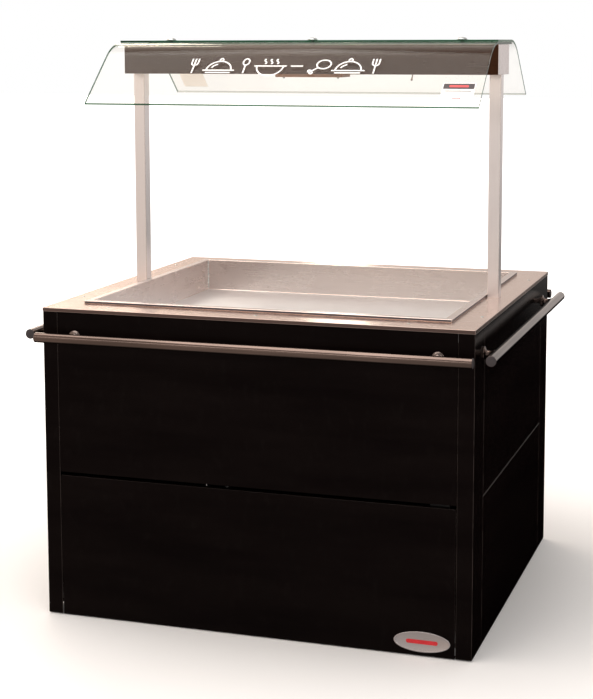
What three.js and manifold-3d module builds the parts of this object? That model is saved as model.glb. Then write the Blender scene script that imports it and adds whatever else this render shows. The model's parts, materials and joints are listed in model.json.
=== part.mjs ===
// Free-standing self-service island for hot food.
// A black sheet-metal cabinet carries a stainless worktop with a heated well.
// Two square posts hold a lamp hood over the well, with a bent glass guard on each side,
// and a tray rail runs along each of the four sides.
//
// Millimetres, +Z up. The origin is on the floor, under the middle of the cabinet.
// +X is to the right of someone who stands in front, and -Y is the front.

import * as THREE from "three";
import { mergeVertices } from "three/addons/utils/BufferGeometryUtils.js";
import Module from "manifold-3d";

const wasm = await Module();
wasm.setup();

// ---------------------------------------------------------------- driving dimensions

// Cabinet
const WIDTH = 1180;
const DEPTH = 1080;
const WORKTOP_HEIGHT = 850;
const SHEET = 2;
const GAP = 0.3;
const FLOOR_CLEARANCE = 3;
const SEAM_HEIGHT = 402;
const DOOR_SEAM_GAP = 10;
const SIDE_SEAM_GAP = 3;
const PANEL_RETURN = 15;
const SIDE_GAP = 1;
const TOP_REVEAL = 0.5;
const POST_STRIP_FRONT = 42;
const POST_STRIP_SIDE = 118;

// Access door
const DOOR_GAP = 2.5;
const DOOR_RETURN = 20;
const DOOR_PIN_INSET_X = 26;
const DOOR_PIN_INSET_Y = 10;
const DOOR_PIN_RADIUS = 3;
const DOOR_PIN_LENGTH = 18;
const PIN_ROOT = 1;
const PIN_CLEARANCE = 0.4;
const BRACKET_SHEET = 4;
const BRACKET_HALF_WIDTH = 5.8;
const BRACKET_REACH = 36;
const BRACKET_NOSE = 5;
const BRACKET_FOOT = 24;
const LOW_ARM_LIFT = 10;
const HIGH_ARM_DROP = 15;
const CATCH = { inset: 20, width: 50, depth: 18, lap: 14, shelf: 3, clearance: 1 };

// Base, feet and top frame
const TRAY_HEIGHT = 30;
const TRAY_LIP = 30;
const TRAY_HALF_DEPTH = 498;
const FOOT_INSET_X = 50;
const FOOT_INSET_Y = 100;
const FOOT_PAD = { radius: 21, edge: 3, shoulder: 7, slope: 4, top: 9 };
const FOOT_NUT = { radius: 10, height: 7 };
const FOOT_STEM_RADIUS = 6;
const FOOT_STEM_CLEARANCE = 0.5;
const FOOT_HEIGHT = 60;
const FRAME_LEG = 30;
const FRAME_SHEET = 3;
const LUG_LAP = 8;
const LUG_INSET = 1;

// Worktop and well
const WORKTOP_OVERHANG = 1;
const WORKTOP_SHEET = 3;
const WORKTOP_EDGE = 10;
const WELL_RIM_WIDTH = 1022;
const WELL_RIM_DEPTH = 898;
const WELL_RIM_HEIGHT = 8;
const WELL_RIM_BAND = 20;
const WELL_FLOOR_HEIGHT = 763;
const WELL_CLEARANCE = 1;
const HEATER_WIDTH = 900;
const HEATER_DEPTH = 780;
const HEATER_SHEET = 5;
const HEATER_TERMINALS = { inset: 20, length: 60, halfWidth: 15, height: 10, cover: 1 };
const JACKET_WALL = 10;
const JACKET_CLEARANCE = 2;
const JACKET_TOP = 838;
const JACKET_DROP = 12;

// Posts and hood
const POST_X = 529;
const POST_WIDTH = 32;
const POST_DEPTH = 36;
const POST_FOOT = 818;
const BEAM_LENGTH = 1096;
const BEAM_DEPTH = 152;
const BEAM_BOTTOM = 1466;
const BEAM_TOP = 1548;
const BEAM_LIP = 12;
const REFLECTOR_LENGTH = 1000;
const REFLECTOR_TOP_HALF = 30;
const REFLECTOR_BOTTOM_HALF = 48;
const REFLECTOR_TOP = 1526;
const REFLECTOR_BOTTOM = 1472;
const REFLECTOR_SHEET = 1.5;
const LAMP_HEIGHT = 1496;
const LAMP_LENGTH = 470;
const LAMP_OFFSET = 258;
const LAMP_RADIUS = 5.5;
const LAMP_CAP_RADIUS = 8;
const LAMP_CAP_LENGTH = 22;
const LAMP_TUBE_INSET = 1;
const LAMP_TAB = { halfThick: 2, halfWidth: 9, root: 1 };
const TERMINAL_COVER = { length: 198, depth: 80, bottom: 1457, top: 1484 };

// Glass guards: a flat top, a bend and a sloping skirt
const GLASS_LENGTH = 1102;
const GLASS = 6;
const GLASS_FLAT = 97;
const GLASS_BEND_RADIUS = 150;
const GLASS_BEND_ANGLE = THREE.MathUtils.degToRad(41);
const FRONT_SKIRT = 194;
const REAR_SKIRT = 183;
const GLASS_SPACER = 0.6;
const GLASS_HOLE_RADIUS = 5;
const SCREW_X = 432;
const SCREW_RADIUS = 4;
const SCREW_HEAD_RADIUS = 14;
const SCREW_HEAD_HEIGHT = 7;
const SCREW_SHANK = 30;
const SCREW_DOME = [[0.8, 0.6], [0.4, 0.92]];
const SCREW_NUT = { radius: 8, height: 6 };

// Tray rails
const RAIL_RADIUS = 13.5;
const RAIL_WALL = 2;
const RAIL_HEIGHT = 775;
const RAIL_STANDOFF = 40;
const RAIL_LENGTH_FRONT = 1186;
const RAIL_LENGTH_SIDE = 1080;
const STANDOFF_X_FRONT = 497;
const STANDOFF_X_SIDE = 436;
const ROSETTE = { radius: 17, edge: 3.5, shoulder: 5, slope: 5, neck: 9 };
const STEM_RADIUS = 7;

// Controls, on the rear
const CONTROL_X = -380;
const CONTROL_Z = 640;
const CONTROL_WIDTH = 230;
const CONTROL_HEIGHT = 110;
const CONTROL_PLATE = 3;
const CONTROL_LAP = 12;
const CONTROL_BOX_DEPTH = 70;
const THERMOSTAT = { halfWidth: 18, halfHeight: 20, depth: 35 };
const SHAFT = { radius: 3, length: 12, root: 1, hole: 4, bore: 3.4, boreDepth: 10 };
const KNOB_RADIUS = 21;
const KNOB_DEPTH = 20;
const KNOB_CLEARANCE = 1;
const KNOB_SKIRT = { edge: 3, shoulder: 6, slope: 3, top: 9, topInset: 4 };
const KNOB_GRIP = { halfWidth: 4.5, inset: 5, root: 1 };
const KNOB_X = -62;
const SWITCH_X = 20;
const SWITCH_BODY = { halfWidth: 10, halfHeight: 15, depth: 24, proud: 1 };
const SWITCH_BEZEL = { halfWidth: 13, halfHeight: 18, proud: 2.5 };
const SWITCH_WELL = { halfWidth: 7.2, halfHeight: 13, depth: 10 };
const PILOT_X = 74;
const PILOT_RADIUS = 6;
const PILOT_DEPTH = 14;
const PILOT_BEZEL = { radius: 8, proud: 2 };
const PILOT_LENS = { radius: 5.5, shoulder: 5, proud: 6 };
const ROCKER_WIDTH = 13;
const ROCKER_LENGTH = 24;
const ROCKER_TILT = THREE.MathUtils.degToRad(7);
const ROCKER_SINK = 1;
const ROCKER_HEEL = 5;
const ROCKER_LIP = { back: 4, front: 5.5, hollow: 2.5, thickness: 3 };
const GLAND_X = -470;
const GLAND_Z = 80;
const GLAND_RADIUS = 10;
const GLAND_BORE = 5;
const GLAND_NUT = { radius: 14, top: 8 };
const GLAND_COLLAR = { radius: 11, bottom: 10, top: 18 };
const GLAND_TIP = { radius: 7, top: 22 };
const GLAND_INSIDE = 12;

// Lamp switch, under the hood
const TOGGLE_X = 309;
const TOGGLE_Y = -57;
const TOGGLE_PIVOT = 1477;
const TOGGLE_TILT = THREE.MathUtils.degToRad(12);
const TOGGLE_BALL = 3;
const TOGGLE_STEM = { radius: 1.8, top: 2.4, bottom: 20 };
const TOGGLE_TIP = { radius: 2.7, top: 23, bottom: 27, endRadius: 1.6, end: 29 };
const LAMP_SWITCH = { halfWidth: 10, front: 13, back: 6, height: 24 };
const LAMP_SWITCH_SLOT = { halfWidth: 6, halfDepth: 3.4, top: 5 };

// Oval plate on the door
const BADGE_X = 461;
const BADGE_Z = 39;
const BADGE_HALF_WIDTH = 74;
const BADGE_HALF_HEIGHT = 27;
const BADGE_SHEET = 2;
const BADGE_BEVEL = 0.5;
const BADGE_BEVEL_INSET = 0.8;

// Worked out from the dimensions above
const HALF_W = WIDTH / 2;
const HALF_D = DEPTH / 2;
const PANEL_TOP = WORKTOP_HEIGHT - WORKTOP_EDGE - TOP_REVEAL;
const DOOR_TOP = SEAM_HEIGHT - DOOR_SEAM_GAP;
const FRAME_TOP = WORKTOP_HEIGHT - WORKTOP_SHEET - GAP;
const WELL_HALF_W = WELL_RIM_WIDTH / 2 - WELL_RIM_BAND;
const WELL_HALF_D = WELL_RIM_DEPTH / 2 - WELL_RIM_BAND;
const FRONT_GLASS_TOP = BEAM_TOP + GAP + GLASS;
const REAR_GLASS_TOP = FRONT_GLASS_TOP + GLASS_SPACER + GLASS;
const DOOR_EDGE = HALF_W - POST_STRIP_FRONT - DOOR_GAP;
const DOOR_PIN_X = -DOOR_EDGE + DOOR_PIN_INSET_X;
const DOOR_PIN_Y = -HALF_D + DOOR_PIN_INSET_Y;
const BRACKET_BACK = DOOR_PIN_Y + BRACKET_REACH;
const SHELF_HEIGHT = SEAM_HEIGHT + SHEET + GAP;
const PLATE_BACK = HALF_D + GAP;
const PLATE_FACE = PLATE_BACK + CONTROL_PLATE;

// Sides of a large and a small round, and how far a cutting tool reaches past what it cuts
const ROUND = 24;
const SMALL_ROUND = 16;
const HEXAGON = 6;
const MARGIN = 5;

// ---------------------------------------------------------------- solids

function toSolid(geometry) {
  const bare = geometry.index ? geometry.toNonIndexed() : geometry.clone();
  bare.deleteAttribute("normal");
  bare.deleteAttribute("uv");
  const merged = mergeVertices(bare, 1e-4);
  return new wasm.Manifold(
    new wasm.Mesh({
      numProp: 3,
      vertProperties: merged.attributes.position.array,
      triVerts: new Uint32Array(merged.index.array),
    }),
  );
}

function toGeometry(solid) {
  const mesh = solid.getMesh();
  const geometry = new THREE.BufferGeometry();
  geometry.setAttribute("position", new THREE.BufferAttribute(mesh.vertProperties, 3));
  geometry.setIndex(new THREE.BufferAttribute(mesh.triVerts, 1));
  const faceted = geometry.toNonIndexed();
  faceted.computeVertexNormals();
  return faceted;
}

const join = (first, ...others) => others.reduce((all, one) => all.add(one), first);
const cut = (first, ...tools) => tools.reduce((left, one) => left.subtract(one), first);

// A block between two x, two y and two z values, in either order.
function block([x0, x1], [y0, y1], [z0, z1]) {
  const size = [x1 - x0, y1 - y0, z1 - z0].map(Math.abs);
  const geometry = new THREE.BoxGeometry(...size);
  geometry.translate((x0 + x1) / 2, (y0 + y1) / 2, (z0 + z1) / 2);
  return toSolid(geometry);
}

const span = (half) => [-half, half];

// A round solid from a profile of [radius, height] points, standing on +Z.
function turned(profile, segments = ROUND) {
  const points = profile.map(([radius, height]) => new THREE.Vector2(radius, height));
  const geometry = new THREE.LatheGeometry(points, segments);
  geometry.rotateX(Math.PI / 2);
  return geometry;
}

// A plain round rod along +Z, between two heights.
function rod(radius, [low, high], x = 0, y = 0, segments = ROUND) {
  const profile = [[0, low], [radius, low], [radius, high], [0, high]];
  const geometry = turned(profile, segments);
  geometry.translate(x, y, 0);
  return toSolid(geometry);
}

// A round rod along X, between two x values.
function rodAlongX(radius, [left, right], y, z, segments = ROUND) {
  const profile = [[0, left], [radius, left], [radius, right], [0, right]];
  const geometry = turned(profile, segments);
  geometry.rotateY(Math.PI / 2);
  geometry.translate(0, y, z);
  return toSolid(geometry);
}

// A turned solid whose height runs towards +Y, placed at x, y, z.
function turnedAlongY(profile, x, y, z, segments = ROUND) {
  const geometry = turned(profile, segments);
  geometry.rotateX(-Math.PI / 2);
  geometry.translate(x, y, z);
  return toSolid(geometry);
}

// A flat outline in the Y-Z plane, drawn out along X over the whole length.
function drawnAlongX(shape, length, curveSegments = 12) {
  const settings = { depth: length, bevelEnabled: false, curveSegments };
  const geometry = new THREE.ExtrudeGeometry(shape, settings);
  geometry.translate(0, 0, -length / 2);
  const across = new THREE.Vector3(0, 1, 0);
  const up = new THREE.Vector3(0, 0, 1);
  const along = new THREE.Vector3(1, 0, 0);
  geometry.applyMatrix4(new THREE.Matrix4().makeBasis(across, up, along));
  return toSolid(geometry);
}

// ---------------------------------------------------------------- materials

const FINISHES = {
  black: { color: 0x0d0a0a, roughness: 0.25, metalness: 0.1 },
  stainless: { color: 0xc9beb6, roughness: 0.35, metalness: 0.9 },
  beam: { color: 0x6f625b, roughness: 0.4, metalness: 0.9 },
  polished: { color: 0xe3ded8, roughness: 0.15, metalness: 1 },
  galvanised: { color: 0x9a9d9f, roughness: 0.5, metalness: 0.8 },
  glass: { color: 0xf3f6e8, roughness: 0.02, metalness: 0, opacity: 0.3, transparent: true },
  plastic: { color: 0x1a1a1b, roughness: 0.5, metalness: 0 },
  wool: { color: 0xb9a77c, roughness: 0.95, metalness: 0 },
  heater: { color: 0xb5532a, roughness: 0.7, metalness: 0 },
  lamp: { color: 0xffb066, roughness: 0.1, metalness: 0 },
  amber: { color: 0xff8a1c, roughness: 0.2, metalness: 0 },
  badge: { color: 0xa3a0a0, roughness: 0.35, metalness: 0.5 },
};

const island = new THREE.Group();

function add(name, solid, finish, parent = island) {
  const material = new THREE.MeshStandardMaterial(FINISHES[finish]);
  const mesh = new THREE.Mesh(toGeometry(solid), material);
  mesh.name = name;
  parent.add(mesh);
  return mesh;
}

// The four sides. Each part made "on a side" is drawn as it stands on the front:
// its outer face at y = 0 facing -Y, and x from the middle of that side.
const SIDES = [
  { name: "front", turn: 0, x: 0, y: -HALF_D, half: HALF_W, strip: POST_STRIP_FRONT },
  { name: "right", turn: Math.PI / 2, x: HALF_W, y: 0, half: HALF_D, strip: POST_STRIP_SIDE },
  { name: "rear", turn: Math.PI, x: 0, y: HALF_D, half: HALF_W, strip: POST_STRIP_FRONT },
  { name: "left", turn: -Math.PI / 2, x: -HALF_W, y: 0, half: HALF_D, strip: POST_STRIP_SIDE },
];

for (const side of SIDES) {
  side.group = new THREE.Group();
  side.group.position.set(side.x, side.y, 0);
  side.group.rotation.z = side.turn;
  island.add(side.group);
}

// ---------------------------------------------------------------- cabinet

// An L-shaped sheet post: a narrow strip on the front or rear, a wide one on the side.
function cornerPost(signX, signY) {
  const x = signX * HALF_W;
  const y = signY * HALF_D;
  const height = [FLOOR_CLEARANCE, PANEL_TOP];
  const facing = block([x, x - signX * POST_STRIP_FRONT], [y, y - signY * SHEET], height);
  const flank = block([x, x - signX * SHEET], [y, y - signY * POST_STRIP_SIDE], height);
  return join(facing, flank);
}

// A sheet panel with its bottom edge folded in, and its top edge too where it isn't tucked away.
function panel(side, [bottom, top], foldedTop) {
  const half = side.half - side.strip - SIDE_GAP;
  const sheet = block(span(half), [0, SHEET], [bottom, top]);
  const lowFold = block(span(half), [0, PANEL_RETURN], [bottom, bottom + SHEET]);
  const highFold = block(span(half), [0, PANEL_RETURN], [top - SHEET, top]);
  return foldedTop ? join(sheet, lowFold, highFold) : join(sheet, lowFold);
}

// Seen from the rear side's own group, x runs the other way.
function controlCutOut() {
  const halfX = CONTROL_WIDTH / 2 - CONTROL_LAP;
  const halfZ = CONTROL_HEIGHT / 2 - CONTROL_LAP;
  const x = [-CONTROL_X - halfX, -CONTROL_X + halfX];
  return block(x, [-MARGIN, SHEET + MARGIN], [CONTROL_Z - halfZ, CONTROL_Z + halfZ]);
}

function glandHole() {
  const radius = GLAND_RADIUS + GAP;
  const profile = [[0, -MARGIN], [radius, -MARGIN], [radius, MARGIN], [0, MARGIN]];
  return turnedAlongY(profile, -GLAND_X, 0, GLAND_Z, SMALL_ROUND);
}

function addPanels() {
  for (const side of SIDES) {
    let upper = panel(side, [SEAM_HEIGHT, PANEL_TOP], false);
    if (side.name === "rear") upper = cut(upper, controlCutOut());
    add("upper_panel_" + side.name, upper, "black", side.group);
    if (side.name === "front") continue;
    let lower = panel(side, [FLOOR_CLEARANCE, SEAM_HEIGHT - SIDE_SEAM_GAP], true);
    if (side.name === "rear") lower = cut(lower, glandHole());
    add("lower_panel_" + side.name, lower, "black", side.group);
  }
}

function addCornerPosts() {
  const corners = { front_left: [-1, -1], front_right: [1, -1], rear_left: [-1, 1], rear_right: [1, 1] };
  for (const [name, [signX, signY]] of Object.entries(corners)) {
    add("corner_post_" + name, cornerPost(signX, signY), "black");
  }
}

// The floor of the cabinet, with its lips turned up and a hole for each foot's stem.
function baseTray() {
  const halfW = HALF_W - SHEET - GAP;
  const outer = block(span(halfW), span(TRAY_HALF_DEPTH), [TRAY_HEIGHT, TRAY_HEIGHT + TRAY_LIP]);
  const hollow = block(span(halfW - SHEET), span(TRAY_HALF_DEPTH - SHEET),
    [TRAY_HEIGHT + SHEET, TRAY_HEIGHT + TRAY_LIP + MARGIN]);
  const holes = footPlaces().map(([, x, y]) =>
    rod(FOOT_STEM_RADIUS + FOOT_STEM_CLEARANCE, [TRAY_HEIGHT - MARGIN, TRAY_HEIGHT + MARGIN],
      x, y, SMALL_ROUND));
  return cut(outer, hollow, ...holes);
}

function footPlaces() {
  const x = HALF_W - FOOT_INSET_X;
  const y = HALF_D - FOOT_INSET_Y;
  return [["front_left", -x, -y], ["front_right", x, -y], ["rear_left", -x, y], ["rear_right", x, y]];
}

// A screw foot: a round pad on the floor, a hexagonal nut and a stem.
function foot(x, y) {
  const { radius, edge, shoulder, slope, top } = FOOT_PAD;
  const pad = turned([[0, 0], [radius, 0], [radius, edge], [radius - slope, shoulder],
    [FOOT_STEM_RADIUS, top], [FOOT_STEM_RADIUS, FOOT_HEIGHT], [0, FOOT_HEIGHT]], SMALL_ROUND);
  pad.translate(x, y, 0);
  const nut = rod(FOOT_NUT.radius, [top, top + FOOT_NUT.height], x, y, HEXAGON);
  return join(toSolid(pad), nut);
}

// Four angle rails joined in a ring under the worktop, with a lug to hold each hood post.
function topFrame() {
  const halfW = HALF_W - SHEET - GAP;
  const halfD = HALF_D - SHEET - GAP;
  const bottom = FRAME_TOP - FRAME_LEG;
  const outer = block(span(halfW), span(halfD), [bottom, FRAME_TOP]);
  const under = block(span(halfW - FRAME_SHEET), span(halfD - FRAME_SHEET),
    [bottom - MARGIN, FRAME_TOP - FRAME_SHEET]);
  const middle = block(span(halfW - FRAME_LEG), span(halfD - FRAME_LEG),
    [bottom - MARGIN, FRAME_TOP + MARGIN]);
  const inner = POST_X + POST_WIDTH / 2 + GAP;
  const lugs = [-1, 1].map((sign) =>
    block([sign * inner, sign * (halfW - LUG_INSET)], span(POST_DEPTH / 2 + LUG_LAP),
      [bottom, FRAME_TOP - LUG_INSET]));
  return join(cut(outer, under, middle), ...lugs);
}

function addStructure() {
  add("base_tray", baseTray(), "galvanised");
  add("top_frame", topFrame(), "galvanised");
  for (const [name, x, y] of footPlaces()) add("foot_" + name, foot(x, y), "plastic");
}

// ---------------------------------------------------------------- access door

// The lower front panel turns on two pins near its left edge.
function accessDoor() {
  const x = span(DOOR_EDGE);
  const sheet = block(x, [-HALF_D, -HALF_D + SHEET], [FLOOR_CLEARANCE, DOOR_TOP]);
  const lowFold = block(x, [-HALF_D, -HALF_D + DOOR_RETURN], [FLOOR_CLEARANCE, FLOOR_CLEARANCE + SHEET]);
  const highFold = block(x, [-HALF_D, -HALF_D + DOOR_RETURN], [DOOR_TOP - SHEET, DOOR_TOP]);
  const lowPin = doorPin(FLOOR_CLEARANCE + PIN_ROOT, FLOOR_CLEARANCE + DOOR_PIN_LENGTH);
  const highPin = doorPin(DOOR_TOP - DOOR_PIN_LENGTH, DOOR_TOP - PIN_ROOT);
  return join(sheet, lowFold, highFold, lowPin, highPin);
}

const doorPin = (low, high) => rod(DOOR_PIN_RADIUS, [low, high], DOOR_PIN_X, DOOR_PIN_Y, SMALL_ROUND);

// An arm that comes from behind to hold a pin, a riser, and a pad fixed to the sheet that carries it.
function hingeBracket(armBottom, riserTop, padY) {
  const x = [DOOR_PIN_X - BRACKET_HALF_WIDTH, DOOR_PIN_X + BRACKET_HALF_WIDTH];
  const back = BRACKET_BACK;
  const arm = block(x, [DOOR_PIN_Y - BRACKET_NOSE, back], [armBottom, armBottom + BRACKET_SHEET]);
  const riser = block(x, [back - BRACKET_SHEET, back], [armBottom, riserTop]);
  const pad = block(x, padY, [riserTop - BRACKET_SHEET, riserTop]);
  const through = [armBottom - MARGIN, armBottom + BRACKET_SHEET + MARGIN];
  const hole = rod(DOOR_PIN_RADIUS + PIN_CLEARANCE, through, DOOR_PIN_X, DOOR_PIN_Y, SMALL_ROUND);
  return join(cut(arm, hole), riser, pad);
}

function addDoor() {
  const lowPad = [BRACKET_BACK - BRACKET_SHEET, BRACKET_BACK + BRACKET_FOOT];
  const low = hingeBracket(FLOOR_CLEARANCE + LOW_ARM_LIFT, TRAY_HEIGHT - GAP, lowPad);
  const highPad = [-HALF_D + SHEET + GAP, BRACKET_BACK];
  const high = hingeBracket(DOOR_TOP - HIGH_ARM_DROP, SHELF_HEIGHT + BRACKET_SHEET, highPad);
  add("access_door", accessDoor(), "black");
  add("hinge_bracket_bottom", low, "black");
  add("hinge_bracket_top", high, "black");
  add("door_catch", doorCatch(), "plastic");
  add("badge_plate", badgePlate(), "badge");
}

// A magnetic catch behind the door's top fold, hung from the fold of the panel above.
function doorCatch() {
  const right = DOOR_EDGE - CATCH.inset;
  const x = [right - CATCH.width, right];
  const face = -HALF_D + DOOR_RETURN + GAP;
  const back = face + CATCH.depth;
  const body = block(x, [face, back], [DOOR_TOP - CATCH.lap, SEAM_HEIGHT + CATCH.lap]);
  const shelf = block(x, [-HALF_D + SHEET + CATCH.clearance, back],
    [SHELF_HEIGHT, SHELF_HEIGHT + CATCH.shelf]);
  return join(body, shelf);
}

// A domed oval plate, seen from the front.
function badgePlate() {
  const outline = new THREE.Shape();
  outline.absellipse(0, 0, BADGE_HALF_WIDTH, BADGE_HALF_HEIGHT, 0, Math.PI * 2, false, 0);
  const settings = { depth: BADGE_SHEET - 2 * BADGE_BEVEL, bevelEnabled: true,
    bevelThickness: BADGE_BEVEL, bevelSize: BADGE_BEVEL_INSET, bevelOffset: -BADGE_BEVEL_INSET,
    bevelSegments: 1, curveSegments: ROUND };
  const geometry = new THREE.ExtrudeGeometry(outline, settings);
  geometry.rotateX(Math.PI / 2);
  geometry.translate(BADGE_X, -HALF_D - GAP - BADGE_BEVEL, BADGE_Z);
  return toSolid(geometry);
}

// ---------------------------------------------------------------- worktop and heated well

function worktop() {
  const halfW = HALF_W + WORKTOP_OVERHANG;
  const halfD = HALF_D + WORKTOP_OVERHANG;
  const outer = block(span(halfW), span(halfD), [WORKTOP_HEIGHT - WORKTOP_EDGE, WORKTOP_HEIGHT]);
  const under = block(span(halfW - SHEET), span(halfD - SHEET),
    [WORKTOP_HEIGHT - WORKTOP_EDGE - MARGIN, WORKTOP_HEIGHT - WORKTOP_SHEET]);
  const through = [WORKTOP_HEIGHT - WORKTOP_EDGE - MARGIN, WORKTOP_HEIGHT + MARGIN];
  const wall = SHEET + WELL_CLEARANCE;
  const wellHole = block(span(WELL_HALF_W + wall), span(WELL_HALF_D + wall), through);
  const postHoles = [-1, 1].map((sign) => {
    const half = POST_WIDTH / 2 + GAP;
    return block([sign * POST_X - half, sign * POST_X + half], span(POST_DEPTH / 2 + GAP), through);
  });
  return cut(outer, under, wellHole, ...postHoles);
}

// A welded pan that hangs in the worktop by its folded rim.
function wellPan() {
  const top = WORKTOP_HEIGHT + WELL_RIM_HEIGHT;
  const rest = WORKTOP_HEIGHT + GAP;
  const rim = block(span(WELL_RIM_WIDTH / 2), span(WELL_RIM_DEPTH / 2), [rest, top]);
  const underRim = block(span(WELL_RIM_WIDTH / 2 - SHEET), span(WELL_RIM_DEPTH / 2 - SHEET),
    [rest - MARGIN, top - SHEET]);
  const walls = block(span(WELL_HALF_W + SHEET), span(WELL_HALF_D + SHEET),
    [WELL_FLOOR_HEIGHT - SHEET, top]);
  const hollow = block(span(WELL_HALF_W), span(WELL_HALF_D), [WELL_FLOOR_HEIGHT, top + MARGIN]);
  return cut(join(cut(rim, underRim), walls), hollow);
}

// A flat heating mat under the pan, with its terminal block.
function wellHeater() {
  const top = WELL_FLOOR_HEIGHT - SHEET - GAP;
  const mat = block(span(HEATER_WIDTH / 2), span(HEATER_DEPTH / 2), [top - HEATER_SHEET, top]);
  const { inset, length, halfWidth, height, cover } = HEATER_TERMINALS;
  const left = -HEATER_WIDTH / 2 + inset;
  const terminals = block([left, left + length], span(halfWidth),
    [top - HEATER_SHEET - height, top - cover]);
  return join(mat, terminals);
}

// A tray of insulation round the pan and under the heater.
function insulationJacket() {
  const innerW = WELL_HALF_W + SHEET + JACKET_CLEARANCE;
  const innerD = WELL_HALF_D + SHEET + JACKET_CLEARANCE;
  const floor = WELL_FLOOR_HEIGHT - SHEET - HEATER_SHEET - JACKET_DROP;
  const outer = block(span(innerW + JACKET_WALL), span(innerD + JACKET_WALL),
    [floor - JACKET_WALL, JACKET_TOP]);
  const hollow = block(span(innerW), span(innerD), [floor, JACKET_TOP + MARGIN]);
  return cut(outer, hollow);
}

function addWell() {
  add("worktop", worktop(), "stainless");
  add("well_pan", wellPan(), "stainless");
  add("well_heater", wellHeater(), "heater");
  add("insulation_jacket", insulationJacket(), "wool");
}

// ---------------------------------------------------------------- hood

// A square tube that runs from the top frame, through the worktop, up into the hood.
function hoodPost(sign) {
  const x = sign * POST_X;
  const height = [POST_FOOT, BEAM_TOP - SHEET - GAP];
  const outer = block([x - POST_WIDTH / 2, x + POST_WIDTH / 2], span(POST_DEPTH / 2), height);
  const bore = block([x - POST_WIDTH / 2 + SHEET, x + POST_WIDTH / 2 - SHEET],
    span(POST_DEPTH / 2 - SHEET), [POST_FOOT - MARGIN, BEAM_TOP + MARGIN]);
  return cut(outer, bore);
}

// A channel, open below, with closed ends and a lip folded in along its front and rear.
function hoodBeam() {
  const half = BEAM_LENGTH / 2;
  const outer = block(span(half), span(BEAM_DEPTH / 2), [BEAM_BOTTOM, BEAM_TOP]);
  const hollow = block(span(half - SHEET), span(BEAM_DEPTH / 2 - SHEET),
    [BEAM_BOTTOM - MARGIN, BEAM_TOP - SHEET]);
  const lips = [-1, 1].map((sign) => block(span(half - SHEET / 2),
    [sign * (BEAM_DEPTH / 2 - SHEET / 2), sign * (BEAM_DEPTH / 2 - BEAM_LIP)],
    [BEAM_BOTTOM, BEAM_BOTTOM + SHEET]));
  return cut(join(cut(outer, hollow), ...lips), ...screwHoles());
}

const screwHoles = () => [-SCREW_X, 0, SCREW_X].map((x) =>
  rod(GLASS_HOLE_RADIUS, [BEAM_TOP - 2 * MARGIN, REAR_GLASS_TOP + MARGIN], x, 0, SMALL_ROUND));

// A folded trough over the lamps, with a tab down to each lamp cap.
function reflector() {
  const outline = new THREE.Shape();
  outline.moveTo(-REFLECTOR_BOTTOM_HALF, REFLECTOR_BOTTOM);
  outline.lineTo(-REFLECTOR_BOTTOM_HALF + REFLECTOR_SHEET, REFLECTOR_BOTTOM);
  outline.lineTo(-REFLECTOR_TOP_HALF + REFLECTOR_SHEET, REFLECTOR_TOP - REFLECTOR_SHEET);
  outline.lineTo(REFLECTOR_TOP_HALF - REFLECTOR_SHEET, REFLECTOR_TOP - REFLECTOR_SHEET);
  outline.lineTo(REFLECTOR_BOTTOM_HALF - REFLECTOR_SHEET, REFLECTOR_BOTTOM);
  outline.lineTo(REFLECTOR_BOTTOM_HALF, REFLECTOR_BOTTOM);
  outline.lineTo(REFLECTOR_TOP_HALF, REFLECTOR_TOP);
  outline.lineTo(-REFLECTOR_TOP_HALF, REFLECTOR_TOP);
  const tabHeight = [LAMP_HEIGHT + LAMP_CAP_RADIUS + GAP, REFLECTOR_TOP - LAMP_TAB.root];
  const tabs = [-1, 1].flatMap((side) => [-1, 1].map((end) => {
    const middle = side * LAMP_OFFSET + end * (LAMP_LENGTH - LAMP_CAP_LENGTH) / 2;
    const x = [middle - LAMP_TAB.halfThick, middle + LAMP_TAB.halfThick];
    return block(x, span(LAMP_TAB.halfWidth), tabHeight);
  }));
  return join(drawnAlongX(outline, REFLECTOR_LENGTH), ...tabs);
}

// A quartz tube with a ceramic cap on each end.
function lampTube(sign) {
  const middle = sign * LAMP_OFFSET;
  const half = LAMP_LENGTH / 2;
  const reach = half - LAMP_TUBE_INSET;
  const tube = rodAlongX(LAMP_RADIUS, [middle - reach, middle + reach], 0, LAMP_HEIGHT, SMALL_ROUND);
  const leftCap = [middle - half, middle - half + LAMP_CAP_LENGTH];
  const rightCap = [middle + half - LAMP_CAP_LENGTH, middle + half];
  const caps = [leftCap, rightCap].map((ends) =>
    rodAlongX(LAMP_CAP_RADIUS, ends, 0, LAMP_HEIGHT, SMALL_ROUND));
  return join(tube, ...caps);
}

// A tray under the middle of the hood that covers the lamps' terminals.
function terminalCover() {
  const { length, depth, bottom, top } = TERMINAL_COVER;
  const outer = block(span(length / 2), span(depth / 2), [bottom, top]);
  const hollow = block(span(length / 2 - REFLECTOR_SHEET), span(depth / 2 - REFLECTOR_SHEET),
    [bottom + REFLECTOR_SHEET, top + MARGIN]);
  return cut(outer, hollow);
}

// The switch for the lamps: its body sits on the hood's front lip, and its lever hangs below.
function lampSwitchBody() {
  const { halfWidth, front, back, height } = LAMP_SWITCH;
  const slot = LAMP_SWITCH_SLOT;
  const low = BEAM_BOTTOM + SHEET + GAP;
  const body = block([TOGGLE_X - halfWidth, TOGGLE_X + halfWidth],
    [TOGGLE_Y - front, TOGGLE_Y + back], [low, low + height]);
  const opening = block([TOGGLE_X - slot.halfWidth, TOGGLE_X + slot.halfWidth],
    [TOGGLE_Y - slot.halfDepth, TOGGLE_Y + slot.halfDepth], [low - MARGIN, TOGGLE_PIVOT + slot.top]);
  return cut(body, opening);
}

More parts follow.
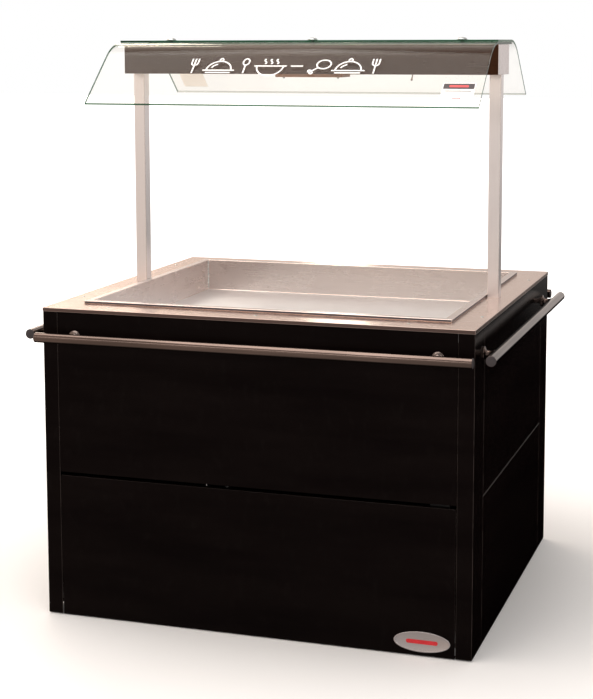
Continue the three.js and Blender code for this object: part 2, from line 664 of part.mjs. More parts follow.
// A lever from a ball in the switch to a thicker tip, drawn hanging straight down.
function lampToggle() {
  const ball = TOGGLE_BALL;
  const slant = ball * Math.SQRT1_2;
  const stem = TOGGLE_STEM;
  const tip = TOGGLE_TIP;
  const profile = [[0, -tip.end], [tip.endRadius, -tip.end], [tip.radius, -tip.bottom],
    [tip.radius, -tip.top], [stem.radius, -stem.bottom], [stem.radius, -stem.top],
    [ball, 0], [slant, slant], [0, ball]];
  const geometry = turned(profile, SMALL_ROUND);
  geometry.rotateY(TOGGLE_TILT);
  geometry.translate(TOGGLE_X, TOGGLE_Y, TOGGLE_PIVOT);
  return toSolid(geometry);
}

function addHood() {
  add("hood_post_left", hoodPost(-1), "stainless");
  add("hood_post_right", hoodPost(1), "stainless");
  add("hood_beam", hoodBeam(), "beam");
  add("lamp_reflector", reflector(), "polished");
  add("lamp_tube_left", lampTube(-1), "lamp");
  add("lamp_tube_right", lampTube(1), "lamp");
  add("terminal_cover", terminalCover(), "stainless");
  add("lamp_switch_body", lampSwitchBody(), "plastic");
  add("lamp_toggle", lampToggle(), "polished");
}

// ---------------------------------------------------------------- glass guards

// Section of a guard: u runs from the ridge towards the skirt, v is height under its top face.
function glassSection(skirt) {
  const start = Math.PI / 2;
  const end = start - GLASS_BEND_ANGLE;
  const inner = GLASS_BEND_RADIUS - GLASS;
  const skirtU = GLASS_FLAT + GLASS_BEND_RADIUS * Math.sin(GLASS_BEND_ANGLE)
    + skirt * Math.cos(GLASS_BEND_ANGLE);
  const skirtV = GLASS_BEND_RADIUS * (Math.cos(GLASS_BEND_ANGLE) - 1)
    - skirt * Math.sin(GLASS_BEND_ANGLE);
  const section = new THREE.Shape();
  section.moveTo(-GLASS_FLAT, -GLASS);
  section.lineTo(GLASS_FLAT, -GLASS);
  section.absarc(GLASS_FLAT, -GLASS_BEND_RADIUS, inner, start, end, true);
  section.lineTo(skirtU - GLASS * Math.sin(GLASS_BEND_ANGLE), skirtV - GLASS * Math.cos(GLASS_BEND_ANGLE));
  section.lineTo(skirtU, skirtV);
  section.absarc(GLASS_FLAT, -GLASS_BEND_RADIUS, GLASS_BEND_RADIUS, end, start, false);
  section.lineTo(-GLASS_FLAT, 0);
  return section;
}

function glassGuard(name, top, skirt, turn) {
  const sheet = cut(drawnAlongX(glassSection(skirt), GLASS_LENGTH), ...screwHoles().map((hole) =>
    hole.translate([0, 0, -top])));
  const mesh = add(name, sheet, "glass");
  mesh.rotation.z = turn;
  mesh.position.z = top;
}

// A domed screw through both guards and the hood, with its nut inside the hood.
function glassScrew(x) {
  const seat = REAR_GLASS_TOP + GAP;
  const tip = seat - SCREW_SHANK;
  const dome = SCREW_DOME.map(([across, up]) =>
    [SCREW_HEAD_RADIUS * across, seat + SCREW_HEAD_HEIGHT * up]);
  const screw = turned([[0, tip], [SCREW_RADIUS, tip], [SCREW_RADIUS, seat], [SCREW_HEAD_RADIUS, seat],
    ...dome, [0, seat + SCREW_HEAD_HEIGHT]], SMALL_ROUND);
  screw.translate(x, 0, 0);
  const nutTop = BEAM_TOP - SHEET - GAP;
  const nut = rod(SCREW_NUT.radius, [nutTop - SCREW_NUT.height, nutTop], x, 0, HEXAGON);
  return join(toSolid(screw), nut);
}

function addGlass() {
  glassGuard("glass_front", FRONT_GLASS_TOP, FRONT_SKIRT, Math.PI);
  glassGuard("glass_rear", REAR_GLASS_TOP, REAR_SKIRT, 0);
  add("glass_screw_left", glassScrew(-SCREW_X), "polished");
  add("glass_screw_middle", glassScrew(0), "polished");
  add("glass_screw_right", glassScrew(SCREW_X), "polished");
}

// ---------------------------------------------------------------- tray rails

function tubeAlongX(radius, wall, length, y, z) {
  return cut(rodAlongX(radius, span(length / 2), y, z),
    rodAlongX(radius - wall, span(length / 2 + MARGIN), y, z));
}

// A turned rosette and stem, its end shaped to the tube it holds.
function standoff(x) {
  const { radius, edge, shoulder, slope, neck } = ROSETTE;
  const profile = [[0, -RAIL_STANDOFF], [STEM_RADIUS, -RAIL_STANDOFF], [STEM_RADIUS, -neck],
    [radius - slope, -shoulder], [radius, -edge], [radius, -GAP], [0, -GAP]];
  const stem = turnedAlongY(profile, x, 0, RAIL_HEIGHT, SMALL_ROUND);
  const tube = rodAlongX(RAIL_RADIUS + GAP, [x - radius, x + radius], -RAIL_STANDOFF, RAIL_HEIGHT);
  return cut(stem, tube);
}

function addRails() {
  for (const side of SIDES) {
    const alongX = side.name === "front" || side.name === "rear";
    const length = alongX ? RAIL_LENGTH_FRONT : RAIL_LENGTH_SIDE;
    const offset = alongX ? STANDOFF_X_FRONT : STANDOFF_X_SIDE;
    const tube = tubeAlongX(RAIL_RADIUS, RAIL_WALL, length, -RAIL_STANDOFF, RAIL_HEIGHT);
    add("tray_rail_" + side.name, tube, "stainless", side.group);
    add("rail_standoff_" + side.name + "_a", standoff(-offset), "stainless", side.group);
    add("rail_standoff_" + side.name + "_b", standoff(offset), "stainless", side.group);
  }
}

// ---------------------------------------------------------------- controls

// These are drawn where they stand, with +Y pointing out of the cabinet.
function controlPlate() {
  const x = [CONTROL_X - CONTROL_WIDTH / 2, CONTROL_X + CONTROL_WIDTH / 2];
  const z = [CONTROL_Z - CONTROL_HEIGHT / 2, CONTROL_Z + CONTROL_HEIGHT / 2];
  const plate = block(x, [PLATE_BACK, PLATE_FACE], z);
  const shaftHole = plateHole(KNOB_X, SHAFT.hole);
  const pilotHole = plateHole(PILOT_X, PILOT_RADIUS + GAP);
  const switchHole = switchPart([PLATE_BACK - MARGIN, PLATE_FACE + MARGIN],
    SWITCH_BODY.halfWidth + GAP, SWITCH_BODY.halfHeight + GAP);
  return cut(plate, shaftHole, pilotHole, switchHole);
}

function plateHole(x, radius) {
  const top = CONTROL_PLATE + MARGIN;
  const profile = [[0, -MARGIN], [radius, -MARGIN], [radius, top], [0, top]];
  return turnedAlongY(profile, CONTROL_X + x, PLATE_BACK, CONTROL_Z, SMALL_ROUND);
}

// A block centred on the mains switch.
function switchPart(y, halfWidth, halfHeight) {
  const x = CONTROL_X + SWITCH_X;
  return block([x - halfWidth, x + halfWidth], y, [CONTROL_Z - halfHeight, CONTROL_Z + halfHeight]);
}

// A sheet box behind the plate, open towards it.
function controlBox() {
  const halfX = CONTROL_WIDTH / 2 - CONTROL_LAP - GAP;
  const halfZ = CONTROL_HEIGHT / 2 - CONTROL_LAP - GAP;
  const x = [CONTROL_X - halfX, CONTROL_X + halfX];
  const z = [CONTROL_Z - halfZ, CONTROL_Z + halfZ];
  const back = HALF_D - CONTROL_BOX_DEPTH;
  const outer = block(x, [back, HALF_D], z);
  const hollow = block([x[0] + SHEET, x[1] - SHEET], [back + SHEET, HALF_D + MARGIN],
    [z[0] + SHEET, z[1] - SHEET]);
  return cut(outer, hollow);
}

function thermostatBody() {
  const { halfWidth, halfHeight, depth } = THERMOSTAT;
  const x = CONTROL_X + KNOB_X;
  const can = block([x - halfWidth, x + halfWidth], [PLATE_BACK - depth, PLATE_BACK - GAP],
    [CONTROL_Z - halfHeight, CONTROL_Z + halfHeight]);
  const profile = [[0, -SHAFT.root], [SHAFT.radius, -SHAFT.root],
    [SHAFT.radius, SHAFT.length], [0, SHAFT.length]];
  return join(can, turnedAlongY(profile, x, PLATE_BACK, CONTROL_Z, SMALL_ROUND));
}

// A skirted knob with a raised grip, bored for the thermostat's shaft.
function thermostatKnob() {
  const x = CONTROL_X + KNOB_X;
  const face = PLATE_FACE + KNOB_CLEARANCE;
  const { edge, shoulder, slope, top, topInset } = KNOB_SKIRT;
  const body = turnedAlongY([[0, 0], [KNOB_RADIUS, 0], [KNOB_RADIUS, edge],
    [KNOB_RADIUS - slope, shoulder], [KNOB_RADIUS - topInset, top], [0, top]], x, face, CONTROL_Z);
  const reach = KNOB_RADIUS - KNOB_GRIP.inset;
  const grip = block([x - KNOB_GRIP.halfWidth, x + KNOB_GRIP.halfWidth],
    [face + KNOB_GRIP.root, face + KNOB_DEPTH], [CONTROL_Z - reach, CONTROL_Z + reach]);
  const bore = turnedAlongY([[0, -MARGIN], [SHAFT.bore, -MARGIN],
    [SHAFT.bore, SHAFT.boreDepth], [0, SHAFT.boreDepth]], x, face, CONTROL_Z, SMALL_ROUND);
  return cut(join(body, grip), bore);
}

// The mains switch: a frame in the plate, a body behind it, and a rocker that tilts in the frame.
function switchBlock() {
  const body = switchPart([PLATE_BACK - SWITCH_BODY.depth, PLATE_FACE + SWITCH_BODY.proud],
    SWITCH_BODY.halfWidth, SWITCH_BODY.halfHeight);
  const bezel = switchPart([PLATE_FACE + GAP, PLATE_FACE + SWITCH_BEZEL.proud],
    SWITCH_BEZEL.halfWidth, SWITCH_BEZEL.halfHeight);
  const well = switchPart([PLATE_BACK - SWITCH_WELL.depth, PLATE_FACE + MARGIN],
    SWITCH_WELL.halfWidth, SWITCH_WELL.halfHeight);
  return cut(join(body, bezel), well);
}

// Drawn level, then tilted to its off position about the x line through its pivot.
function mainsRocker() {
  const half = ROCKER_LENGTH / 2;
  const { back, front, hollow, thickness } = ROCKER_LIP;
  const outline = new THREE.Shape();
  outline.moveTo(0, -ROCKER_HEEL);
  outline.lineTo(back, -half + thickness);
  outline.lineTo(front, -half);
  outline.quadraticCurveTo(hollow, 0, front, half);
  outline.lineTo(back, half - thickness);
  outline.lineTo(0, ROCKER_HEEL);
  const geometry = new THREE.ExtrudeGeometry(outline,
    { depth: ROCKER_WIDTH, bevelEnabled: false, curveSegments: 8 });
  geometry.translate(0, 0, -ROCKER_WIDTH / 2);
  const outward = new THREE.Vector3(0, 1, 0);
  const up = new THREE.Vector3(0, 0, 1);
  const along = new THREE.Vector3(1, 0, 0);
  geometry.applyMatrix4(new THREE.Matrix4().makeBasis(outward, up, along));
  geometry.rotateX(ROCKER_TILT);
  geometry.translate(CONTROL_X + SWITCH_X, PLATE_FACE - ROCKER_SINK, CONTROL_Z);
  return toSolid(geometry);
}

// A lamp through the plate, with a flat bezel and a domed lens.
function pilotLamp() {
  const seat = CONTROL_PLATE + GAP;
  const profile = [[0, -PILOT_DEPTH], [PILOT_RADIUS, -PILOT_DEPTH], [PILOT_RADIUS, seat],
    [PILOT_BEZEL.radius, seat], [PILOT_BEZEL.radius, CONTROL_PLATE + PILOT_BEZEL.proud],
    [PILOT_LENS.radius, CONTROL_PLATE + PILOT_LENS.shoulder], [0, CONTROL_PLATE + PILOT_LENS.proud]];
  return turnedAlongY(profile, CONTROL_X + PILOT_X, PLATE_BACK, CONTROL_Z, SMALL_ROUND);
}

// A cable gland in the lower rear panel, with its bore open right through.
function cableGland() {
  const seat = SHEET + GAP;
  const profile = [[GLAND_BORE, -GLAND_INSIDE], [GLAND_RADIUS, -GLAND_INSIDE], [GLAND_RADIUS, seat],
    [GLAND_NUT.radius, seat], [GLAND_NUT.radius, GLAND_NUT.top],
    [GLAND_COLLAR.radius, GLAND_COLLAR.bottom], [GLAND_COLLAR.radius, GLAND_COLLAR.top],
    [GLAND_TIP.radius, GLAND_TIP.top], [GLAND_BORE, GLAND_TIP.top], [GLAND_BORE, -GLAND_INSIDE]];
  return turnedAlongY(profile, GLAND_X, HALF_D - SHEET, GLAND_Z, SMALL_ROUND);
}

function addControls() {
  add("control_plate", controlPlate(), "stainless");
  add("control_box", controlBox(), "galvanised");
  add("thermostat_body", thermostatBody(), "galvanised");
  add("thermostat_knob", thermostatKnob(), "plastic");
  add("switch_block", switchBlock(), "plastic");
  add("mains_rocker", mainsRocker(), "plastic");
  add("pilot_lamp", pilotLamp(), "amber");
  add("cable_gland", cableGland(), "plastic");
}

addCornerPosts();
addPanels();
addStructure();
addDoor();
addWell();
addHood();
addGlass();
addRails();
addControls();

export default island;
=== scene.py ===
"""Looks of a hot food island: fine meshes, materials, floor, lights and camera around its CAD frame."""

import json
import math
import random

import bmesh
import bpy
from mathutils import Matrix, Vector

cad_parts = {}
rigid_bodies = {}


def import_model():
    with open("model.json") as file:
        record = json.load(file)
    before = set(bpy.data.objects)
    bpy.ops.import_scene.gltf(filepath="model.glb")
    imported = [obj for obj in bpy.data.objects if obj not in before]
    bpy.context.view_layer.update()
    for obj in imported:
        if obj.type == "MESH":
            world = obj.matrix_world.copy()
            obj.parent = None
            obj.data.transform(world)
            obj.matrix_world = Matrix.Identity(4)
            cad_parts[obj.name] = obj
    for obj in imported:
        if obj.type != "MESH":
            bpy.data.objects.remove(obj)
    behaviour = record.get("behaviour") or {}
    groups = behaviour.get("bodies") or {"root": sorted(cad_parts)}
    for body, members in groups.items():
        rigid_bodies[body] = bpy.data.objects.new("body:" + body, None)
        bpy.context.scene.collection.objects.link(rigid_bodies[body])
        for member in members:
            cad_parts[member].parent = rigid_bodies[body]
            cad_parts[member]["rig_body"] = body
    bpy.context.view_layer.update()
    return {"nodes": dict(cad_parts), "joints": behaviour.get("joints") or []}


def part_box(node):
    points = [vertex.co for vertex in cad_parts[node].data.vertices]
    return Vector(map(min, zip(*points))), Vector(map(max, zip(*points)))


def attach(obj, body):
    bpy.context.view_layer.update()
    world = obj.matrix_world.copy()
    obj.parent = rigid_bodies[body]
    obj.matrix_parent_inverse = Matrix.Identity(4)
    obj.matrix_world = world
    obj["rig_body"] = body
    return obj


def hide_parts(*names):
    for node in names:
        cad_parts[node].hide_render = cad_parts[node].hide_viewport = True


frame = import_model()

SCENE = bpy.context.scene
MM = 0.001
SIDES = ("front", "right", "rear", "left")
CORNERS = ("front_left", "front_right", "rear_left", "rear_right")
CORNER_SIGNS = ((-1, -1), (1, -1), (-1, 1), (1, 1))

# ---- camera

EYE = Vector((1.397, -4.403, 1.555))
YAW = math.radians(18.19)
PITCH = math.radians(-6.97)
ROLL = math.radians(-0.14)
LENS_MM = 83.3
SHIFT_DOWN = 0.1567


def add_camera():
    data = bpy.data.cameras.new("camera")
    data.lens = LENS_MM
    data.shift_y = -SHIFT_DOWN
    camera = bpy.data.objects.new("camera", data)
    SCENE.collection.objects.link(camera)
    turn = Matrix.Rotation(YAW, 4, "Z") @ Matrix.Rotation(math.pi / 2 + PITCH, 4, "X")
    camera.matrix_world = Matrix.Translation(EYE) @ turn @ Matrix.Rotation(ROLL, 4, "Z")
    SCENE.camera = camera


# ---- node helpers


def add_node(tree, kind, inputs=None, **settings):
    """A new node; an input is set to a plain value, or linked when it is given a socket."""
    node = tree.nodes.new("ShaderNode" + kind)
    for key, value in settings.items():
        setattr(node, key, value)
    for key, value in (inputs or {}).items():
        if isinstance(value, bpy.types.NodeSocket):
            tree.links.new(value, node.inputs[key])
        else:
            node.inputs[key].default_value = value
    return node


def new_material(name):
    """(material, its node tree, its Principled shader)."""
    material = bpy.data.materials.new(name)
    material.use_nodes = True
    return material, material.node_tree, material.node_tree.nodes["Principled BSDF"]


def rgba(colour):
    return (*colour, 1.0)


def noise(tree, scale, detail=3.0, roughness=0.5, seed=0.0):
    """Noise over the object's own metres; scale is cells per metre along X, Y and Z."""
    metres = add_node(tree, "TexCoord").outputs["Object"]
    shift = (seed, seed, seed)
    moved = add_node(tree, "Mapping", {"Vector": metres, "Scale": scale, "Location": shift})
    return add_node(
        tree,
        "TexNoise",
        {"Vector": moved.outputs["Vector"], "Scale": 1.0, "Detail": detail, "Roughness": roughness},
    ).outputs["Fac"]


def remap(tree, value, low=0.0, high=1.0, start=0.3, end=0.7):
    """value taken from start..end to low..high, and held there."""
    return add_node(
        tree,
        "MapRange",
        {"Value": value, "From Min": start, "From Max": end, "To Min": low, "To Max": high},
    ).outputs["Result"]


def mix_colour(tree, share, first, second):
    """The first colour where share is 0, the second where it is 1."""
    node = add_node(tree, "Mix", data_type="RGBA")
    for socket, value in ((node.inputs[0], share), (node.inputs[6], first), (node.inputs[7], second)):
        if isinstance(value, bpy.types.NodeSocket):
            tree.links.new(value, socket)
        else:
            socket.default_value = value
    return node.outputs[2]


def bumped(tree, layers):
    """The normal that several (height, depth in metres) layers give, one on the other."""
    normal = None
    for height, depth in layers:
        inputs = {"Height": height, "Distance": depth, "Strength": 1.0}
        if normal is not None:
            inputs["Normal"] = normal
        normal = add_node(tree, "Bump", inputs).outputs["Normal"]
    return normal


# ---- materials

# Streaks and longer bands of brushed steel, in cells per metre along and across them
STREAK_LENGTH = 7.0
STREAK_WIDTH = 420.0
BAND_LENGTH = 0.9
BAND_WIDTH = 46.0
DUST = (0.5, 0.42, 0.38)
ZINC_DARK = (0.3, 0.31, 0.33)
ZINC_LIGHT = (0.5, 0.51, 0.52)
ZINC_STAIN = (0.33, 0.3, 0.27)
HOTTEST = (1.0, 0.62, 0.3)
WOOL_DARK = (0.34, 0.27, 0.13)
WOOL_LIGHT = (0.62, 0.53, 0.33)
FLOOR_DARK = (0.93, 0.925, 0.915)
FLOOR_LIGHT = (0.95, 0.945, 0.94)
WHITE = (1.0, 1.0, 1.0)
CUT_EDGE = 0.2


def along(axis, length=STREAK_LENGTH, width=STREAK_WIDTH):
    """Cells per metre of streaks that run along one axis."""
    return tuple(length if axis == name else width for name in "XYZ")


def brushed(name, axis, colour, drift=0.05, rough=(0.22, 0.3), depth=0.000004):
    """Brushed steel: fine streaks along an axis, longer pale bands, and soft cloudy stains.
    drift is how far the colour strays from its mean."""
    material, tree, shader = new_material(name)
    fine = noise(tree, along(axis), 4.0, 0.65)
    bands = noise(tree, along(axis, BAND_LENGTH, BAND_WIDTH), 3.0, 0.6, seed=3.0)
    clouds = noise(tree, (2.3,) * 3, 2.0, 0.5, seed=7.0)
    smudges = noise(tree, (17.0,) * 3, 4.0, 0.6, seed=11.0)
    dark = rgba([c * (1 - drift) for c in colour])
    light = rgba([min(1.0, c * (1 + drift)) for c in colour])
    steel = mix_colour(tree, remap(tree, clouds), dark, light)
    banded = mix_colour(tree, remap(tree, bands, 0.0, 0.5), steel, light)
    grained = mix_colour(tree, remap(tree, fine, 0.0, 0.5), banded, dark)
    tree.links.new(grained, shader.inputs["Base Color"])
    shine = add_node(tree, "Math", {0: remap(tree, fine, *rough), 1: remap(tree, smudges, -0.02, 0.03)})
    tree.links.new(shine.outputs[0], shader.inputs["Roughness"])
    tree.links.new(bumped(tree, [(bands, 2 * depth), (fine, depth)]), shader.inputs["Normal"])
    shader.inputs["Metallic"].default_value = 1.0
    return material


def enamel(name, dark, light, rough=(0.1, 0.14), specular=0.03):
    """Black stove enamel: faint orange peel, slow waves of the sheet, rubbed patches and dust."""
    material, tree, shader = new_material(name)
    peel = noise(tree, (330.0,) * 3, 2.0, 0.5)
    waves = noise(tree, (3.1,) * 3, 1.0, 0.5, seed=5.0)
    dust = noise(tree, (46.0, 46.0, 23.0), 6.0, 0.7, seed=9.0)
    rubbed = noise(tree, (2.2, 2.2, 14.0), 3.0, 0.6, seed=13.0)
    shade = mix_colour(tree, remap(tree, rubbed), rgba(dark), rgba(light))
    dusty = mix_colour(tree, remap(tree, dust, 0.0, 0.004, 0.55, 0.8), shade, rgba(DUST))
    tree.links.new(dusty, shader.inputs["Base Color"])
    shine = add_node(tree, "Math", {0: remap(tree, rubbed, *rough), 1: remap(tree, dust, 0.0, 0.05)})
    tree.links.new(shine.outputs[0], shader.inputs["Roughness"])
    tree.links.new(bumped(tree, [(waves, 0.0012), (peel, 0.000012)]), shader.inputs["Normal"])
    shader.inputs["Specular IOR Level"].default_value = specular
    return material


def moulded(name, dark, light, rough=(0.35, 0.55), grain=900.0, depth=0.00003, specular=0.4):
    """Moulded plastic, rubber, ceramic or film with a fine grain and slight colour drift."""
    material, tree, shader = new_material(name)
    grains = noise(tree, (grain,) * 3, 2.0, 0.5)
    drift = noise(tree, (24.0,) * 3, 4.0, 0.6, seed=2.0)
    shade = mix_colour(tree, remap(tree, drift), rgba(dark), rgba(light))
    tree.links.new(shade, shader.inputs["Base Color"])
    shine = add_node(tree, "Math", {0: remap(tree, drift, *rough), 1: remap(tree, grains, -0.05, 0.05)})
    tree.links.new(shine.outputs[0], shader.inputs["Roughness"])
    tree.links.new(bumped(tree, [(grains, depth)]), shader.inputs["Normal"])
    shader.inputs["Specular IOR Level"].default_value = specular
    return material


def spangled(name):
    """Galvanised sheet with its crystal spangle."""
    material, tree, shader = new_material(name)
    metres = add_node(tree, "TexCoord").outputs["Object"]
    crystals = add_node(tree, "TexVoronoi", {"Vector": metres, "Scale": 95.0}).outputs["Color"]
    grey = add_node(tree, "RGBToBW", {"Color": crystals}).outputs["Val"]
    stains = noise(tree, (8.0,) * 3, 4.0, 0.6)
    zinc = mix_colour(tree, remap(tree, grey), rgba(ZINC_DARK), rgba(ZINC_LIGHT))
    stained = mix_colour(tree, remap(tree, stains, 0.0, 0.35), zinc, rgba(ZINC_STAIN))
    tree.links.new(stained, shader.inputs["Base Color"])
    tree.links.new(remap(tree, grey, 0.32, 0.55), shader.inputs["Roughness"])
    tree.links.new(bumped(tree, [(grey, 0.00002)]), shader.inputs["Normal"])
    shader.inputs["Metallic"].default_value = 0.9
    return material


def clear_sheet(name, tint, body_colour, rough, least, most):
    """Clear glass that doesn't bend light: it lets its tint through, and mirrors more at a slant.
    least and most are the mirror's shares seen square on and edge on. From CUT_EDGE up it is a
    cut edge, which shows its colour in place of a metallic mirror."""
    material, tree, shader = new_material(name)
    film = noise(tree, (6.0,) * 3, 3.0, 0.6)
    tree.links.new(remap(tree, film, rough, rough + 0.02), shader.inputs["Roughness"])
    faint = rgba([c * 0.94 for c in body_colour])
    tree.links.new(mix_colour(tree, film, rgba(body_colour), faint), shader.inputs["Base Color"])
    shader.inputs["Metallic"].default_value = 1.0 if least < CUT_EDGE else 0.0
    slant = add_node(tree, "LayerWeight", {"Blend": 0.5}).outputs["Facing"]
    steep = add_node(tree, "Math", {0: slant, 1: 5.0}, operation="POWER").outputs[0]
    share = remap(tree, steep, least, most, 0.0, 1.0)
    clear = add_node(tree, "BsdfTransparent", {"Color": rgba(tint)}).outputs[0]
    mixed = add_node(tree, "MixShader", {0: share, 1: clear, 2: shader.outputs[0]}).outputs[0]
    tree.links.new(mixed, tree.nodes["Material Output"].inputs["Surface"])
    return material


def glowing(name, colour, strength):
    """A hot coil: its brightness drifts along its length."""
    material, tree, shader = new_material(name)
    heat = noise(tree, (30.0,) * 3, 2.0, 0.5)
    hot = mix_colour(tree, remap(tree, heat), rgba(colour), rgba(HOTTEST))
    tree.links.new(hot, shader.inputs["Base Color"])
    tree.links.new(hot, shader.inputs["Emission Color"])
    tree.links.new(remap(tree, heat, 0.5, 0.8), shader.inputs["Roughness"])
    shader.inputs["Emission Strength"].default_value = strength
    return material


def fibrous(name):
    """Mineral wool: matted fibres in two shades."""
    material, tree, shader = new_material(name)
    fibres = noise(tree, (260.0, 60.0, 260.0), 6.0, 0.75)
    shade = mix_colour(tree, remap(tree, fibres), rgba(WOOL_DARK), rgba(WOOL_LIGHT))
    tree.links.new(shade, shader.inputs["Base Color"])
    tree.links.new(remap(tree, fibres, 0.85, 1.0), shader.inputs["Roughness"])
    tree.links.new(bumped(tree, [(fibres, 0.0012)]), shader.inputs["Normal"])
    shader.inputs["Sheen Weight"].default_value = 0.3
    return material


BLACK = enamel("black_enamel", (0.0022, 0.0012, 0.0012), (0.0042, 0.0026, 0.0024))
BLACK_EDGE = enamel("black_enamel_edge", (0.012, 0.008, 0.007), (0.04, 0.028, 0.024), (0.2, 0.3), 0.3)
# Worktop steel: its peach tint is partly the steel's own colour and partly painted warm light, from the
# warm room it mirrors.
PEACH_AND_PAINTED_WARMTH = (0.61, 0.46, 0.39)
GREY = (0.77, 0.68, 0.65)
TOP_X = brushed("worktop_steel_x", "X", PEACH_AND_PAINTED_WARMTH, rough=(0.2, 0.28))
TOP_Y = brushed("worktop_steel_y", "Y", PEACH_AND_PAINTED_WARMTH, rough=(0.2, 0.28))
# The worktop's fold is the same steel, painted dark brown as shade.
FOLD_PAINTED_SHADE = brushed("worktop_fold_painted_shade", "X", (0.15, 0.105, 0.095), rough=(0.3, 0.4))
# The well pan is one steel painted in shades by which way its faces look: walls facing along Y and the
# rim's top painted darker as shade, walls facing along X paler, the floor painted light, near white.
WELL_X_PAINTED_SHADE = brushed("well_steel_x_painted_shade", "X", (0.58, 0.505, 0.475), 0.03, (0.25, 0.31))
WELL_Y = brushed("well_steel_y", "Y", GREY, 0.03, (0.25, 0.31))
WELL_FLOOR_PAINTED_LIGHT = brushed("well_floor_steel_painted_light", "X", (0.95, 0.98, 1.0), 0.02, (0.3, 0.36))
# The outer side of the well's rim is painted near black: a painted shadow of the gap under the rim.
RIM_PAINTED_SHADOW = brushed("well_rim_side_painted_shadow", "X", (0.12, 0.11, 0.125), 0.1, (0.3, 0.4))
POST_STEEL = brushed("post_steel", "Z", (0.98, 0.93, 0.92), 0.02, (0.28, 0.36))
# The hood beam's long faces are painted dark brown as shade, a painted reflection of a dark room; its ends
# keep a pale steel.
HOOD_PAINTED_SHADE = brushed("hood_steel_x_painted_shade", "X", (0.052, 0.022, 0.012), 0.45, (0.26, 0.36))
# The terminal cover's orange brown is painted light: the lamps' glow falling on it.
LAMP_GLOW_PAINTED_STEEL = brushed("terminal_cover_painted_lamp_glow", "X", (0.34, 0.17, 0.09), 0.25, (0.25, 0.4))
HOOD_END = brushed("hood_steel_end", "Z", (0.8, 0.73, 0.72), 0.15, (0.2, 0.3))
RAIL_X = brushed("rail_steel_x", "X", (0.16, 0.118, 0.102), 0.5, (0.12, 0.2))
RAIL_Y = brushed("rail_steel_y", "Y", (0.2, 0.16, 0.145), 0.5, (0.12, 0.18))
POLISHED = brushed("polished_steel", "Z", (0.6, 0.64, 0.63), 0.1, (0.08, 0.16))
LEVER_STEEL = brushed("lever_steel", "Z", (0.42, 0.34, 0.27), 0.1, (0.12, 0.2))
REFLECTOR = brushed("reflector_steel", "X", (0.78, 0.76, 0.72), 0.06, (0.1, 0.2))
BADGE_STEEL = brushed("badge_steel", "X", (0.55, 0.51, 0.51), 0.1, (0.25, 0.38))
STEEL_EDGE = brushed("steel_edge", "Z", (0.84, 0.73, 0.68), 0.04, (0.14, 0.24))
TOP_EDGE = brushed("worktop_edge_steel", "X", (0.62, 0.48, 0.42), 0.08, (0.25, 0.36))
HOOD_EDGE = brushed("hood_steel_edge", "Z", (0.52, 0.33, 0.22), 0.15, (0.2, 0.3))
ZINC = spangled("galvanised_sheet")
ZINC_EDGE = brushed("zinc_edge", "Z", (0.55, 0.56, 0.57), 0.1, (0.3, 0.4))
PLASTIC = moulded("black_plastic", (0.012, 0.012, 0.013), (0.03, 0.028, 0.028))
PLASTIC_EDGE = moulded("black_plastic_edge", (0.035, 0.034, 0.035), (0.07, 0.067, 0.066), (0.25, 0.4))
PLUG_PLASTIC = moulded("plug_plastic", (0.02, 0.016, 0.017), (0.045, 0.036, 0.038))
ROCKER_RED = moulded("rocker_red", (0.25, 0.012, 0.008), (0.42, 0.03, 0.02), (0.15, 0.28), 300.0)
RED_ENAMEL = moulded("red_enamel", (0.5, 0.015, 0.02), (0.66, 0.03, 0.04), (0.18, 0.3), 300.0)
AMBER = moulded("amber_lens", (0.75, 0.2, 0.01), (0.95, 0.36, 0.04), (0.08, 0.18), 200.0)
HEATER_RUBBER = moulded("heater_rubber", (0.3, 0.08, 0.035), (0.46, 0.13, 0.06), (0.6, 0.8))
CERAMIC = moulded("ceramic", (0.62, 0.58, 0.52), (0.8, 0.76, 0.7), (0.35, 0.5), 500.0)
FILM_ROUGH = (0.3, 0.42)
FILM_GRAIN = 0.00001
WHITE_FILM = moulded("white_film", (0.86, 0.85, 0.83), (0.96, 0.95, 0.93), FILM_ROUGH, depth=FILM_GRAIN)
DARK_FILM = moulded("dark_film", (0.02, 0.012, 0.016), (0.05, 0.035, 0.04), FILM_ROUGH, depth=FILM_GRAIN)
RED_FILM = moulded("red_film", (0.6, 0.04, 0.05), (0.75, 0.08, 0.08), FILM_ROUGH, depth=FILM_GRAIN)
WOOL = fibrous("mineral_wool")
CLEAR = clear_sheet("guard_glass", (0.984, 0.972, 0.955), (0.95, 0.95, 0.92), 0.01, 0.012, 0.9)
GREEN_EDGE = clear_sheet("guard_glass_edge", (0.1, 0.3, 0.17), (0.004, 0.035, 0.016), 0.1, 0.7, 0.95)
# The rear guard's lower cut edge is painted pale: painted light from the room it faces.
GLASS_EDGE_PAINTED_LIGHT = clear_sheet("guard_glass_edge_painted_light", (0.7, 0.7, 0.66), (0.5, 0.5, 0.46), 0.1, 0.2, 0.9)
QUARTZ = clear_sheet("quartz_tube", (1.0, 0.97, 0.93), (0.95, 0.93, 0.9), 0.02, 0.05, 0.8)
HOT_COIL = glowing("hot_coil", (1.0, 0.32, 0.08), 9.0)

# ---- mesh helpers

# The material of the rounded edges that go with a face material
EDGE_OF = {BLACK: BLACK_EDGE, ZINC: ZINC_EDGE, PLASTIC: PLASTIC_EDGE, CLEAR: GREEN_EDGE, HOOD_PAINTED_SHADE: HOOD_EDGE}
EDGE_OF.update(dict.fromkeys((WELL_X_PAINTED_SHADE, POST_STEEL, REFLECTOR), STEEL_EDGE))
EDGE_OF[TOP_X] = TOP_EDGE
BODY_OF = {name: node["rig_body"] for name, node in frame["nodes"].items()}
SMOOTH_ANGLE = math.radians(32)
FLAT_ANGLE = math.radians(0.5)
SAME_POINT = 0.00002
